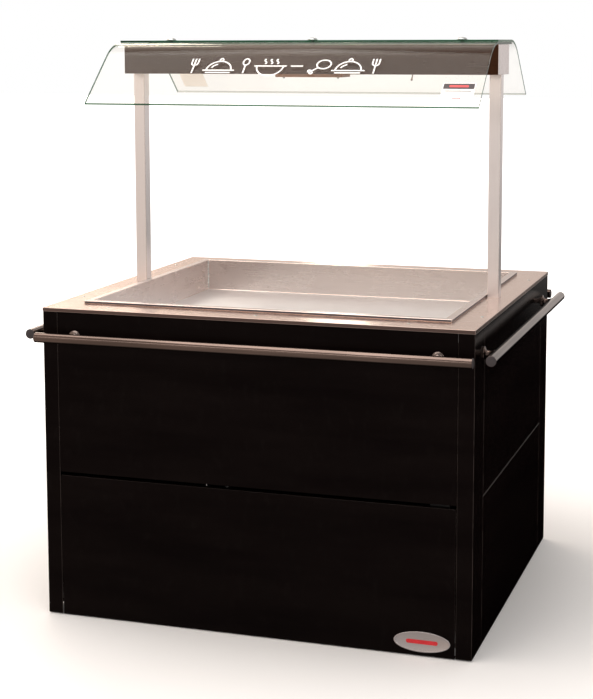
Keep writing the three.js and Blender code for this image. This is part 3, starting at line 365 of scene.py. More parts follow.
# How far a unit normal points along an axis when its face looks that way, or hardly at all
FACING = 0.7
ASIDE = 0.3


def smooth(mesh):
    mesh.shade_smooth()
    mesh.set_sharp_from_angle(angle=SMOOTH_ANGLE)


def round_off(piece, width, segments):
    """Rounds every sharp edge by a bevel in the worn twin of its material, and keeps flat faces flat."""
    bevel = piece.modifiers.new("edges", "BEVEL")
    bevel.width = width
    bevel.segments = segments
    bevel.limit_method = "ANGLE"
    bevel.angle_limit = SMOOTH_ANGLE
    bevel.harden_normals = True
    edge = EDGE_OF.get(piece.data.materials[0])
    if edge:
        piece.data.materials.append(edge)
        bevel.material = len(piece.data.materials) - 1


def place(name, mesh, body, materials, replaces=(), edge=0.0, segments=2):
    """Puts a finished mesh in the scene as a piece of the object."""
    smooth(mesh)
    piece = bpy.data.objects.new(name, mesh)
    SCENE.collection.objects.link(piece)
    for material in materials:
        piece.data.materials.append(material)
    if edge:
        round_off(piece, edge, segments)
    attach(piece, body)
    if replaces:
        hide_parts(*replaces)


def stand_in(node, mesh, materials, edge=0.0, segments=2):
    """Puts a finer mesh in the place of a CAD node, on the same body."""
    place("fine_" + node, mesh, BODY_OF[node], materials, (node,), edge, segments)


def mesh_of(bm, name):
    bmesh.ops.recalc_face_normals(bm, faces=bm.faces)
    mesh = bpy.data.meshes.new(name)
    bm.to_mesh(mesh)
    bm.free()
    return mesh


def clean_copy(node):
    """The node's mesh with its split corners merged and its flat faces whole."""
    bm = bmesh.new()
    bm.from_mesh(frame["nodes"][node].data)
    bmesh.ops.remove_doubles(bm, verts=bm.verts, dist=SAME_POINT)
    bmesh.ops.dissolve_limit(bm, angle_limit=FLAT_ANGLE, verts=bm.verts, edges=bm.edges)
    return bm


def refined(node, materials, edge, choose=None, segments=3):
    """A CAD node again with rounded edges; choose(face) gives each face's material number."""
    bm = clean_copy(node)
    if choose:
        for face in bm.faces:
            face.material_index = choose(face)
    stand_in(node, mesh_of(bm, "fine_" + node), materials, edge, segments)


def full_turn(steps):
    """The angles of so many even steps round a circle."""
    return [2 * math.pi * k / steps for k in range(steps)]


def oval(centre, half_x, half_y, steps):
    """Points of a whole oval."""
    return [(centre[0] + half_x * math.cos(a), centre[1] + half_y * math.sin(a)) for a in full_turn(steps)]


def lathe(bm, profile, segments=40, closed=False):
    """A round skin about Z through (radius, height) pairs."""
    rings = []
    for radius, height in profile:
        if radius == 0:
            rings.append([bm.verts.new((0, 0, height))])
            continue
        around = [(radius * math.cos(a), radius * math.sin(a), height) for a in full_turn(segments)]
        rings.append([bm.verts.new(point) for point in around])
    pairs = list(zip(rings, rings[1:]))
    if closed:
        pairs.append((rings[-1], rings[0]))
    for low, high in pairs:
        for k in range(segments):
            n = (k + 1) % segments
            corners = [low[k % len(low)], low[n % len(low)], high[n % len(high)], high[k % len(high)]]
            bm.faces.new(list(dict.fromkeys(corners)))


def skin(bm, rings):
    """A closed skin over rings that have as many points each."""
    made = [[bm.verts.new(point) for point in ring] for ring in rings]
    bm.faces.new(made[0])
    for first, second in zip(made, made[1:]):
        for k in range(len(first)):
            n = (k + 1) % len(first)
            bm.faces.new((first[k], first[n], second[n], second[k]))
    bm.faces.new(made[-1][::-1])


def turned(name, profile, matrix, segments=40, closed=False):
    """A turned mesh, its profile in millimetres, moved by a matrix."""
    bm = bmesh.new()
    scaled = [(radius * MM, height * MM) for radius, height in profile]
    lathe(bm, scaled, segments, closed)
    bm.transform(matrix)
    return mesh_of(bm, name)


def arc(centre, radius, start, end, steps):
    """Points of a round stretch, angles in degrees."""
    angles = [math.radians(start + (end - start) * k / steps) for k in range(steps + 1)]
    return [(centre[0] + radius * math.cos(a), centre[1] + radius * math.sin(a)) for a in angles]


def prism(bm, outline, depth, matrix):
    """A flat outline drawn out by a depth along its own Z, then moved by a matrix."""
    base = [bm.verts.new((x, y, 0)) for x, y in outline]
    face = bm.faces.new(base)
    grown = bmesh.ops.extrude_face_region(bm, geom=[face])["geom"]
    top = [v for v in grown if isinstance(v, bmesh.types.BMVert)]
    bmesh.ops.translate(bm, verts=top, vec=(0, 0, depth))
    bmesh.ops.transform(bm, matrix=matrix, verts=base + top)


def hexagon(radius):
    """The outline of a nut, its radius in millimetres."""
    return arc((0, 0), radius * MM, 0, 300, 5)


def rounded_box(half_x, half_y, radius, steps=6):
    """The outline of a rectangle with round corners."""
    points = []
    for quarter, (sx, sy) in enumerate(((1, 1), (-1, 1), (-1, -1), (1, -1))):
        centre = (sx * (half_x - radius), sy * (half_y - radius))
        points += arc(centre, radius, 90 * quarter, 90 * quarter + 90, steps)
    return points


def ribbon(bm, points, width, depth, matrix, closed=False):
    """A flat band of even width that follows a line of points."""
    line = [Vector(p) for p in points]
    count = len(line)
    left, right = [], []
    for k, here in enumerate(line):
        before = line[k - 1] if k or closed else here
        after = line[(k + 1) % count] if k < count - 1 or closed else here
        first = (here - before).normalized() if here != before else (after - here).normalized()
        last = (after - here).normalized() if after != here else first
        mean = (first + last).normalized()
        side = Vector((-mean.y, mean.x)) * (width / 2 / max(0.5, mean.dot(last)))
        left.append(here + side)
        right.append(here - side)
    pairs = count if closed else count - 1
    levels = [[[bm.verts.new((p.x, p.y, z)) for p in row] for row in (left, right)] for z in (0, depth)]
    made = [v for level in levels for row in level for v in row]
    (low_l, low_r), (high_l, high_r) = levels
    for k in range(pairs):
        n = (k + 1) % count
        bm.faces.new((high_l[k], high_l[n], high_r[n], high_r[k]))
        bm.faces.new((low_r[k], low_r[n], low_l[n], low_l[k]))
        bm.faces.new((low_l[k], low_l[n], high_l[n], high_l[k]))
        bm.faces.new((low_r[n], low_r[k], high_r[k], high_r[n]))
    if not closed:
        bm.faces.new((low_l[0], high_l[0], high_r[0], low_r[0]))
        bm.faces.new((low_l[-1], low_r[-1], high_r[-1], high_l[-1]))
    bmesh.ops.transform(bm, matrix=matrix, verts=made)


def centre_of(node):
    low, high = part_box(node)
    return (low + high) / 2


def aimed(at, direction):
    """A matrix that stands a piece drawn along +Z at a point, along a direction."""
    turn = Vector((0, 0, 1)).rotation_difference(Vector(direction)).to_matrix().to_4x4()
    return Matrix.Translation(at) @ turn


# ---- cabinet

WELL_SHEET = 0.002
# A foot's radii and its heights above the floor, in millimetres
STEM_RADIUS = 6
THREAD_DEPTH = 0.6
THREAD_STEP = 0.75
NUT_RADIUS = 10
NUT_FROM = 9
NUT_TO = 16
# Which way each side of the cabinet looks
OUTWARD = {"front": (0, -1, 0), "right": (1, 0, 0), "rear": (0, 1, 0), "left": (-1, 0, 0)}


def side_or_top(face):
    """1 for faces that look along X, which have a steel of their own; 0 for the rest. On the well and the
    hood beam the two are lighter and darker painted shades of one steel.
    """
    return 1 if abs(face.normal.x) > FACING else 0


def well_face(face):
    """2 for the pan's floor, which is painted light; 3 for the outer side of its rim, which is painted
    dark as shadow; else as side_or_top.
    """
    low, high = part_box("well_pan")
    centre = face.calc_center_median()
    if face.normal.z > FACING and centre.z < low.z + 2 * WELL_SHEET:
        return 2
    at_edge = max(abs(centre.x) - high.x, abs(centre.y) - high.y) > -WELL_SHEET / 2
    return 3 if at_edge and abs(face.normal.z) < ASIDE else side_or_top(face)


def worktop_face(face):
    """2 for the fold that hangs along the front and rear, which is painted dark as shade, else as
    side_or_top.
    """
    return 2 if abs(face.normal.y) > FACING else side_or_top(face)


def add_cabinet():
    for side in SIDES:
        refined("upper_panel_" + side, [BLACK], edge=0.0008)
        if side != "front":
            refined("lower_panel_" + side, [BLACK], edge=0.0008)
    for corner in CORNERS:
        refined("corner_post_" + corner, [BLACK], edge=0.0009)
        add_foot("foot_" + corner)
    refined("access_door", [BLACK], edge=0.0008)
    for node in ("base_tray", "top_frame"):
        refined(node, [ZINC], edge=0.0006)
    for node in ("hinge_bracket_bottom", "hinge_bracket_top"):
        refined(node, [BLACK], edge=0.0004)
    refined("door_catch", [PLASTIC], edge=0.0008)


def add_foot(node):
    """A round pad, a hexagonal nut and a stem with rings in place of a thread."""
    low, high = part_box(node)
    middle = centre_of(node)
    top = (high.z - low.z) / MM
    pad_radius = (high.x - low.x) / MM / 2
    pad = [(0, 0), (pad_radius - 1, 0), (pad_radius, 1), (pad_radius, 3), (pad_radius - 4, 7)]
    grooves = range(int((top - (NUT_TO + 1)) / THREAD_STEP))
    root = STEM_RADIUS - THREAD_DEPTH
    thread = [(root + THREAD_DEPTH * (k % 2), NUT_TO + k * THREAD_STEP) for k in grooves]
    stem = [(STEM_RADIUS, NUT_FROM), (STEM_RADIUS, NUT_TO)] + thread
    profile = pad + stem + [(STEM_RADIUS - 1, top), (0, top)]
    matrix = Matrix.Translation((middle.x, middle.y, low.z))
    bm = bmesh.new()
    lathe(bm, [(r * MM, h * MM) for r, h in profile], 36)
    bm.transform(matrix)
    nut_at = matrix @ Matrix.Translation((0, 0, NUT_FROM * MM))
    prism(bm, hexagon(NUT_RADIUS), (NUT_TO - NUT_FROM) * MM, nut_at)
    stand_in(node, mesh_of(bm, "fine_" + node), [PLASTIC], edge=0.0003)


BADGE_STEPS = 72
BADGE_FIELD = 0.62
BADGE_RIM = (
    (1.0, 0.0), (1.0, 0.7), (0.985, 0.93), (0.965, 1.0), (0.94, 1.0), (0.92, 0.86), (0.9, BADGE_FIELD),
)
BADGE_INSET = 1.6


def add_badge():
    """A blank oval plate: a raised rim round a flat field, with a plain enamel bar.
    The rim is drawn by shares of the plate's size and of its depth."""
    low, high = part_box("badge_plate")
    middle = centre_of("badge_plate")
    half_x, half_z = (high.x - low.x) / 2, (high.z - low.z) / 2
    depth = high.y - low.y
    rings = []
    for share, height in BADGE_RIM:
        inset = (1 - share) * half_z * BADGE_INSET
        outline = oval((middle.x, middle.z), half_x - inset, half_z - inset, BADGE_STEPS)
        rings.append([(x, high.y - height * depth, z) for x, z in outline])
    plate = bmesh.new()
    skin(plate, rings)
    stand_in("badge_plate", mesh_of(plate, "fine_badge_plate"), [BADGE_STEEL], edge=0.0002)
    bar = bmesh.new()
    face_y = high.y - BADGE_FIELD * depth
    outline = rounded_box(half_x * 0.56, half_z * 0.2, half_z * 0.19)
    upright = Matrix.Translation((middle.x, face_y, middle.z)) @ Matrix.Rotation(math.pi / 2, 4, "X")
    prism(bar, outline, 0.0005, upright)
    place("badge_bar", mesh_of(bar, "badge_bar"), "door", [RED_ENAMEL], edge=0.0002)


# ---- worktop and well

# Screws: how far out the front and rear row and the side columns lie, and their places along them
SCREW_FACE_Y = 0.495
SCREW_SIDE_X = 0.566
FRONT_SCREWS = (-0.42, 0.0, 0.41)
SIDE_SCREWS = (-0.34, 0.34)
WELL_RIM = 0.020
WELD_ENDS = 0.006
WELD_SUNK = 0.0006


def add_worktop():
    refined("worktop", [TOP_X, TOP_Y, FOLD_PAINTED_SHADE], edge=0.0012, choose=worktop_face)
    pan_steels = [WELL_X_PAINTED_SHADE, WELL_Y, WELL_FLOOR_PAINTED_LIGHT, RIM_PAINTED_SHADOW]
    refined("well_pan", pan_steels, edge=0.0014, choose=well_face, segments=4)
    refined("well_heater", [HEATER_RUBBER], edge=0.0006)
    refined("insulation_jacket", [WOOL], edge=0.002)
    places = [(x, sign * SCREW_FACE_Y) for x in FRONT_SCREWS for sign in (-1, 1)]
    places += [(sign * SCREW_SIDE_X, y) for y in SIDE_SCREWS for sign in (-1, 1)]
    for number, (x, y) in enumerate(places):
        add_pan_screw("worktop_screw_%d" % number, Vector((x, y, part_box("worktop")[1].z)), (0, 0, 1))
    add_well_welds()


def add_pan_screw(name, at, direction, radius=4.2, height=1.7):
    """A low domed screw head with a round socket."""
    skirt = height * 0.25
    dome = [(radius * math.cos(a), skirt + height * 0.75 * math.sin(a)) for a in (0, 0.4, 0.8, 1.15)]
    socket = [(radius * 0.42, height * 0.93), (radius * 0.42, height * 0.4), (0, height * 0.4)]
    profile = [(0, 0), (radius, 0)] + dome + socket
    mesh = turned(name, profile, aimed(at, direction), 24)
    place(name, mesh, "cabinet", [POLISHED], edge=0.00015)


def add_well_welds():
    """A line of small weld beads up each inside corner of the well."""
    random.seed(4)
    low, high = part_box("well_pan")
    floor = low.z + WELL_SHEET
    inner_x, inner_y = high.x - WELL_RIM, high.y - WELL_RIM
    for corner, (sx, sy) in zip(CORNERS, CORNER_SIGNS):
        bm = bmesh.new()
        z = floor + WELD_ENDS
        while z < high.z - WELD_ENDS:
            size = random.uniform(0.0017, 0.0026)
            seat = Vector((sx * (inner_x - WELD_SUNK), sy * (inner_y - WELD_SUNK), z))
            squash = Matrix.Diagonal((1.0, 1.0, random.uniform(1.1, 1.5), 1.0))
            matrix = Matrix.Translation(seat) @ squash
            bmesh.ops.create_uvsphere(bm, u_segments=12, v_segments=8, radius=size, matrix=matrix)
            z += random.uniform(0.0055, 0.0075)
        name = "well_weld_" + corner
        place(name, mesh_of(bm, name), "cabinet", [POLISHED])


# ---- hood

# A lamp's tube and caps, in millimetres
TUBE_RADIUS = 5.5
TUBE_BORE = 4.5
CAP_RADIUS = 8
CAP_CHAMFER = 0.8
# The rest is in metres
TUBE_SHORT = 0.002
CAP_LENGTH = 0.022
TERMINAL_SCREWS = (-0.08, 0.081)
TERMINAL_SCREW_Y = -0.02
COIL_TURNS = 64
COIL_STEPS = 12
COIL_RADIUS = 0.0026
WIRE_RADIUS = 0.0005
WIRE_SIDES = 6
TIP_RADIUS = 0.0027


def add_hood():
    for side in ("left", "right"):
        refined("hood_post_" + side, [POST_STEEL], edge=0.0016, segments=4)
        add_lamp(side)
    refined("hood_beam", [HOOD_PAINTED_SHADE, HOOD_END], edge=0.0011, choose=side_or_top)
    refined("lamp_reflector", [REFLECTOR], edge=0.0004)
    refined("terminal_cover", [LAMP_GLOW_PAINTED_STEEL], edge=0.0007)
    refined("lamp_switch_body", [PLASTIC], edge=0.0007)
    add_toggle()
    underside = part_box("terminal_cover")[0].z
    for number, x in enumerate(TERMINAL_SCREWS):
        at = Vector((x, TERMINAL_SCREW_Y, underside))
        add_pan_screw("terminal_screw_%d" % number, at, (0, 0, -1), radius=3.4, height=5.0)


def add_lamp(side):
    """A quartz tube with its glowing coil, and a ceramic cap at each end."""
    node = "lamp_tube_" + side
    low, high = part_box(node)
    middle = centre_of(node)
    half = (high.x - low.x) / 2
    to_x = Matrix.Translation(middle) @ Matrix.Rotation(math.pi / 2, 4, "Y")
    reach = (half - TUBE_SHORT) / MM
    tube = [(TUBE_RADIUS, -reach), (TUBE_RADIUS, reach), (TUBE_BORE, reach), (TUBE_BORE, -reach)]
    mesh = turned("quartz_" + side, tube, to_x, 32, closed=True)
    place("quartz_" + side, mesh, "cabinet", [QUARTZ], (node,))
    for end in (-1, 1):
        name = "lamp_cap_%s_%s" % (side, "outer" if (end > 0) == (side == "right") else "inner")
        start, stop = sorted((end * half / MM, end * (half - CAP_LENGTH) / MM))
        face = CAP_RADIUS - CAP_CHAMFER
        profile = [(0, start), (face, start), (CAP_RADIUS, start + 1)]
        profile += [(CAP_RADIUS, stop - 1), (face, stop), (0, stop)]
        mesh = turned(name, profile, to_x, 32)
        place(name, mesh, "cabinet", [CERAMIC], edge=0.0003)
    add_coil("lamp_coil_" + side, middle, half - CAP_LENGTH)


def add_coil(name, middle, half):
    """A helix of fine wire inside the tube, swept as a thin tube of six sides."""
    steps = COIL_TURNS * COIL_STEPS
    across = Vector((1, 0, 0))
    rings = []
    for k in range(steps + 1):
        angle = 2 * math.pi * k / COIL_STEPS
        x = middle.x - half + 2 * half * k / steps
        out = Vector((0, math.cos(angle), math.sin(angle)))
        centre = Vector((x, middle.y, middle.z)) + out * COIL_RADIUS
        wire = [WIRE_RADIUS * (out * math.cos(t) + across * math.sin(t)) for t in full_turn(WIRE_SIDES)]
        rings.append([centre + offset for offset in wire])
    bm = bmesh.new()
    skin(bm, rings)
    place(name, mesh_of(bm, name), "cabinet", [HOT_COIL])


def add_toggle():
    """The lamp switch's lever, with a ball pivot and a drop-shaped tip."""
    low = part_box("lamp_toggle")[0]
    joint = next(j for j in frame["joints"] if j["child"] == "toggle")
    pivot = Vector(joint["pos_m"])
    tip = Vector((low.x + TIP_RADIUS - pivot.x, 0, low.z + TIP_RADIUS - pivot.z))
    ball = [(0, 3), (1.6, 2.6), (2.6, 1.5), (3, 0), (2.5, -1.7), (1.9, -2.6)]
    lever = [(1.6, -6), (1.6, -17), (2.1, -21), (2.7, -24), (2.7, -26.5), (2.0, -28.4), (0, -29)]
    down = aimed(pivot, -tip.normalized())
    mesh = turned("fine_lamp_toggle", (ball + lever)[::-1], down, 28)
    stand_in("lamp_toggle", mesh, [LEVER_STEEL])


# ---- glass guards

BEND_RADIUS = 0.150
BEND_ANGLE = math.radians(41)
FLAT_HALF = 0.097
FILM_GAP = 0.00005


def glass_face(face):
    """1 for the narrow cut edges and the holes of a guard, 0 for its broad faces."""
    return 1 if abs(face.normal.z) < FACING else 0


def rear_glass_face(face):
    """As glass_face, but 2 for the lower cut edge, which is painted pale as the light of the bright room
    it faces.
    """
    lower_edge = face.normal.y > FACING and face.normal.z < -0.5
    return 2 if lower_edge else glass_face(face)


def on_skirt(node, sign, x, down):
    """A matrix on a guard's outer skirt: local X to the reader's right, Y up the slope, Z outwards.
    sign is -1 for the front guard and +1 for the rear one; down is the distance below the bend."""
    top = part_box(node)[1].z
    bend_y = FLAT_HALF + BEND_RADIUS * math.sin(BEND_ANGLE)
    bend_z = top - BEND_RADIUS * (1 - math.cos(BEND_ANGLE))
    y = bend_y + down * math.cos(BEND_ANGLE)
    z = bend_z - down * math.sin(BEND_ANGLE)
    outward = Vector((0, sign * math.sin(BEND_ANGLE), math.cos(BEND_ANGLE)))
    up_slope = Vector((0, -sign * math.cos(BEND_ANGLE), math.sin(BEND_ANGLE)))
    right = up_slope.cross(outward)
    matrix = Matrix.Identity(4)
    for column, axis in enumerate((right, up_slope, outward)):
        for row in range(3):
            matrix[row][column] = axis[row]
    matrix.translation = Vector((x, sign * y, z)) + outward * FILM_GAP
    return matrix


ICON_HEIGHT = 0.058
ICONS_BELOW_BEND = 0.0115
STROKE = 0.0042
STROKE_FILM = 0.0003
LABEL_FILM = 0.0002


def icon_cloche():
    dome = arc((0, -0.3), 0.62, 0, 180, 22)
    plate = [(-0.8, -0.3), (0.8, -0.3)]
    foot = [(-0.62, -0.46), (0.62, -0.46)]
    knob = arc((0, 0.42), 0.09, 0, 360, 12)[:-1]
    glint = arc((0, -0.3), 0.42, 105, 155, 8)
    return [(dome, False), (plate, False), (foot, False), (knob, True), (glint, False)]


def icon_bowl():
    bowl = [(-0.66, 0.0)] + arc((0, 0), 0.66, 180, 360, 22)[1:] + [(0.66, 0.0)]
    rim = [(-0.8, 0.0), (0.8, 0.0)]
    steam = []
    for x in (-0.3, 0.0, 0.3):
        waves = [(x + 0.06 * math.sin(2 * math.pi * k / 10), 0.14 + 0.34 * k / 10) for k in range(11)]
        steam.append((waves, False))
    return [(bowl, False), (rim, False)] + steam


def icon_fork():
    stem = [(0, -0.5), (0, 0.1)]
    yoke = [(-0.16, 0.5)] + arc((0, 0.2), 0.16, 180, 360, 10) + [(0.16, 0.5)]
    tine = [(0, 0.12), (0, 0.5)]
    return [(stem, False), (yoke, False), (tine, False)]


def icon_spoon():
    bowl = oval((0, 0.28), 0.15, 0.22, 20)
    stem = [(0, 0.06), (0, -0.5)]
    return [(bowl, True), (stem, False)]


def icon_leg():
    drum = oval((0.16, 0.12), 0.34, 0.3, 24)
    bone = [(-0.1, -0.12), (-0.42, -0.4)]
    knob_a = arc((-0.46, -0.34), 0.07, 0, 360, 10)[:-1]
    knob_b = arc((-0.36, -0.46), 0.07, 0, 360, 10)[:-1]
    return [(drum, True), (bone, False), (knob_a, True), (knob_b, True)]


def icon_dash():
    return [([(-0.3, 0.0), (0.3, 0.0)], False)]


# Each drawing and the X of its middle
ICONS = (
    (icon_fork, -0.272), (icon_cloche, -0.196), (icon_spoon, -0.122), (icon_bowl, -0.049),
    (icon_dash, 0.027), (icon_leg, 0.093), (icon_cloche, 0.174), (icon_fork, 0.246),
)


def add_pictograms():
    """A row of plain line drawings of tableware, as white film on the front guard."""
    down = ICONS_BELOW_BEND + ICON_HEIGHT / 2
    for number, (icon, x) in enumerate(ICONS):
        bm = bmesh.new()
        matrix = on_skirt("glass_front", -1, x, down)
        for points, closed in icon():
            scaled = [(px * ICON_HEIGHT, py * ICON_HEIGHT) for px, py in points]
            ribbon(bm, scaled, STROKE, STROKE_FILM, matrix, closed)
        name = "pictogram_%d" % number
        place(name, mesh_of(bm, name), "cabinet", [WHITE_FILM])


def add_label(name, node, sign, x, down, half_x, half_y):
    """A blank white label: a dark band with a red oval near its top, a dark line and a red bar."""
    matrix = on_skirt(node, sign, x, down)
    parts = (
        ("_sheet", rounded_box(half_x, half_y, 0.002), 0.0, 0.0, WHITE_FILM),
        ("_band", rounded_box(half_x * 0.94, half_y * 0.3, 0.0015), 0.62, 0.0003, DARK_FILM),
        ("_oval", rounded_box(half_x * 0.6, half_y * 0.12, half_y * 0.115), 0.62, 0.0005, RED_FILM),
        ("_line", rounded_box(half_x * 0.8, half_y * 0.035, half_y * 0.03), 0.08, 0.0003, DARK_FILM),
        ("_bar", rounded_box(half_x * 0.26, half_y * 0.04, half_y * 0.035), -0.72, 0.0003, RED_FILM),
    )
    for suffix, outline, up, lift, material in parts:
        bm = bmesh.new()
        rise = up * half_y
        prism(bm, outline, LABEL_FILM, matrix @ Matrix.Translation((0, rise, lift)))
        place(name + suffix, mesh_of(bm, name + suffix), "cabinet", [material])


# A guard's screw, in millimetres, but UNDER_BEAM_TOP is in metres
HEAD_RADIUS = 13.2
HEAD_HEIGHT = 7
HEAD_DOME = 5.2
SHANK_RADIUS = 4
WASHER_RADIUS = 14
GUARD_NUT_RADIUS = 8
GUARD_NUT_HEIGHT = 6
UNDER_BEAM_TOP = 0.0023


def add_guard_screw(side):
    """A domed screw on a rubber washer, with its shank and its nut inside the hood."""
    node = "glass_screw_" + side
    low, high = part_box(node)
    middle = centre_of(node)
    height = (high.z - low.z) / MM
    seat = height - HEAD_HEIGHT
    skirt = height - HEAD_DOME
    matrix = Matrix.Translation((middle.x, middle.y, low.z))
    angles = (0.0, 0.25, 0.5, 0.75, 1.0, 1.3)
    dome = [(HEAD_RADIUS * math.cos(a), skirt + HEAD_DOME * math.sin(a)) for a in angles]
    shank = [(0, 0), (SHANK_RADIUS - 0.6, 0), (SHANK_RADIUS, 0.8), (SHANK_RADIUS, seat + 0.9)]
    profile = shank + [(HEAD_RADIUS, seat + 0.9)] + dome + [(0, height)]
    bm = bmesh.new()
    lathe(bm, [(r * MM, h * MM) for r, h in profile], 48)
    bm.transform(matrix)
    nut_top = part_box("hood_beam")[1].z - UNDER_BEAM_TOP
    nut_height = GUARD_NUT_HEIGHT * MM
    nut_at = Matrix.Translation((middle.x, middle.y, nut_top - nut_height))
    prism(bm, hexagon(GUARD_NUT_RADIUS), nut_height, nut_at)
    stand_in(node, mesh_of(bm, "fine_" + node), [POLISHED], edge=0.0003)
    bore = SHANK_RADIUS + 1
    ring = [(bore, seat - 0.1), (WASHER_RADIUS, seat - 0.1), (WASHER_RADIUS, seat + 1), (bore, seat + 1)]
    washer = turned("washer_" + side, ring, matrix, 40, closed=True)
    place("washer_" + side, washer, "cabinet", [PLASTIC], edge=0.0003)


def add_glass():
    glass = [CLEAR, GREEN_EDGE]
    refined("glass_front", glass, edge=0.0007, choose=glass_face, segments=2)
    glass = [CLEAR, GREEN_EDGE, GLASS_EDGE_PAINTED_LIGHT]
    refined("glass_rear", glass, edge=0.0007, choose=rear_glass_face, segments=2)
    add_pictograms()
    add_label("label_front", "glass_front", -1, x=0.487, down=0.138, half_x=0.0435, half_y=0.0335)
    add_label("label_rear", "glass_rear", 1, x=-0.481, down=0.1245, half_x=0.0388, half_y=0.0365)
    for side in ("left", "middle", "right"):
        add_guard_screw(side)


# ---- tray rails

# In millimetres; STEM is a standoff's radius, RAIL_REACH runs from its foot to the rail's axis
RAIL_REACH = 40
RAIL_RADIUS = 13.5
TUBE_WALL = 2
PLUG_LENGTH = 9
STEM = 7


def add_rail(side):
    """A round tube with a plastic plug in each end."""
    node = "tray_rail_" + side
    low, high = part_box(node)
    middle = centre_of(node)
    along_x = side in ("front", "rear")
    axis = Vector((1, 0, 0)) if along_x else Vector((0, 1, 0))
    half = ((high - low) @ axis) / 2 / MM
    radius = (high.z - low.z) / 2 / MM
    bore = radius - TUBE_WALL
    tube = [(radius, -half), (radius, half), (bore, half), (bore, -half)]
    steel = RAIL_X if along_x else RAIL_Y
    mesh = turned("fine_" + node, tube, aimed(middle, axis), 64, closed=True)
    stand_in(node, mesh, [steel], edge=0.0005, segments=3)
    sleeve = bore - 0.15
    plug = [(0, -PLUG_LENGTH), (sleeve, -PLUG_LENGTH), (sleeve, 0.05), (radius - 0.5, 0.05),
            (radius - 0.7, 1.0), (radius - 2.5, 1.7), (radius - 6, 2.1), (0, 2.3)]
    for sign, end in ((-1, "a"), (1, "b")):
        name = "rail_plug_%s_%s" % (side, end)
        at = middle + axis * (sign * half * MM)
        mesh = turned(name, plug, aimed(at, axis * sign), 40)
        place(name, mesh, "cabinet", [PLUG_PLASTIC])


def add_standoff(side, letter):
    """A rosette against the panel and a stem welded to the rail."""
    node = "rail_standoff_%s_%s" % (side, letter)
    low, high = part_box(node)
    outward = Vector(OUTWARD[side])
    middle = centre_of(node)
    reach = abs((high - low) @ outward)
    foot = middle - outward * reach / 2
    rosette = (high.z - low.z) / 2 / MM
    to_rail = RAIL_REACH - RAIL_RADIUS
    profile = [(0, 0), (rosette, 0), (rosette, 2.6), (rosette - 0.8, 3.6), (rosette - 4, 4.6),
               (STEM + 2.2, 6.2), (STEM + 0.6, 8.2), (STEM, 10.5), (STEM, to_rail - 3.5),
               (STEM + 0.9, to_rail - 1.4), (STEM + 2.0, to_rail + 1.8), (STEM - 0.6, to_rail + 3.2),
               (0, to_rail + 3.2)]
    mesh = turned("fine_" + node, profile, aimed(foot, outward), 48)
    steel = RAIL_Y if side in ("front", "rear") else RAIL_X
    stand_in(node, mesh, [steel], edge=0.0003)


def add_rails():
    for side in SIDES:
        add_rail(side)
        for letter in "ab":
            add_standoff(side, letter)


# ---- controls on the rear


def facing_rear(x, y, z):
    """A matrix for things drawn in X and Y that lie on a rear face: +Z points out of the cabinet."""
    turn = Matrix(((-1, 0, 0, 0), (0, 0, 1, 0), (0, 1, 0, 0), (0, 0, 0, 1)))
    return Matrix.Translation((x, y, z)) @ turn


PLATE_SCREW_INSET = 0.008
FLUTES = 24
FLUTE_DEPTH = 0.018
FLUTED_HEIGHTS = (0.25, 0.95)
KNOB_STEPS = 144
KNOB_RINGS = ((1.0, 0.0), (1.0, 0.12), (0.9, 0.24), (0.84, 0.3), (0.8, 0.9), (0.74, 1.0))
DIAL_TICKS = 11
DIAL_SWEEP = 270


def add_controls():
    refined("control_plate", [TOP_X], edge=0.0007)
    for node in ("control_box", "thermostat_body"):
        refined(node, [ZINC], edge=0.0006)
    refined("switch_block", [PLASTIC], edge=0.0007)
    refined("mains_rocker", [ROCKER_RED], edge=0.0004)
    add_knob()
    add_pilot_lamp()
    add_gland()
    low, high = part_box("control_plate")
    middle = centre_of("control_plate")
    for number, (sx, sz) in enumerate(CORNER_SIGNS):
        x = middle.x + sx * ((high.x - low.x) / 2 - PLATE_SCREW_INSET)
        z = middle.z + sz * ((high.z - low.z) / 2 - PLATE_SCREW_INSET)
        at = Vector((x, high.y, z))
        add_pan_screw("plate_screw_%d" % number, at, (0, 1, 0), radius=3.6, height=1.6)


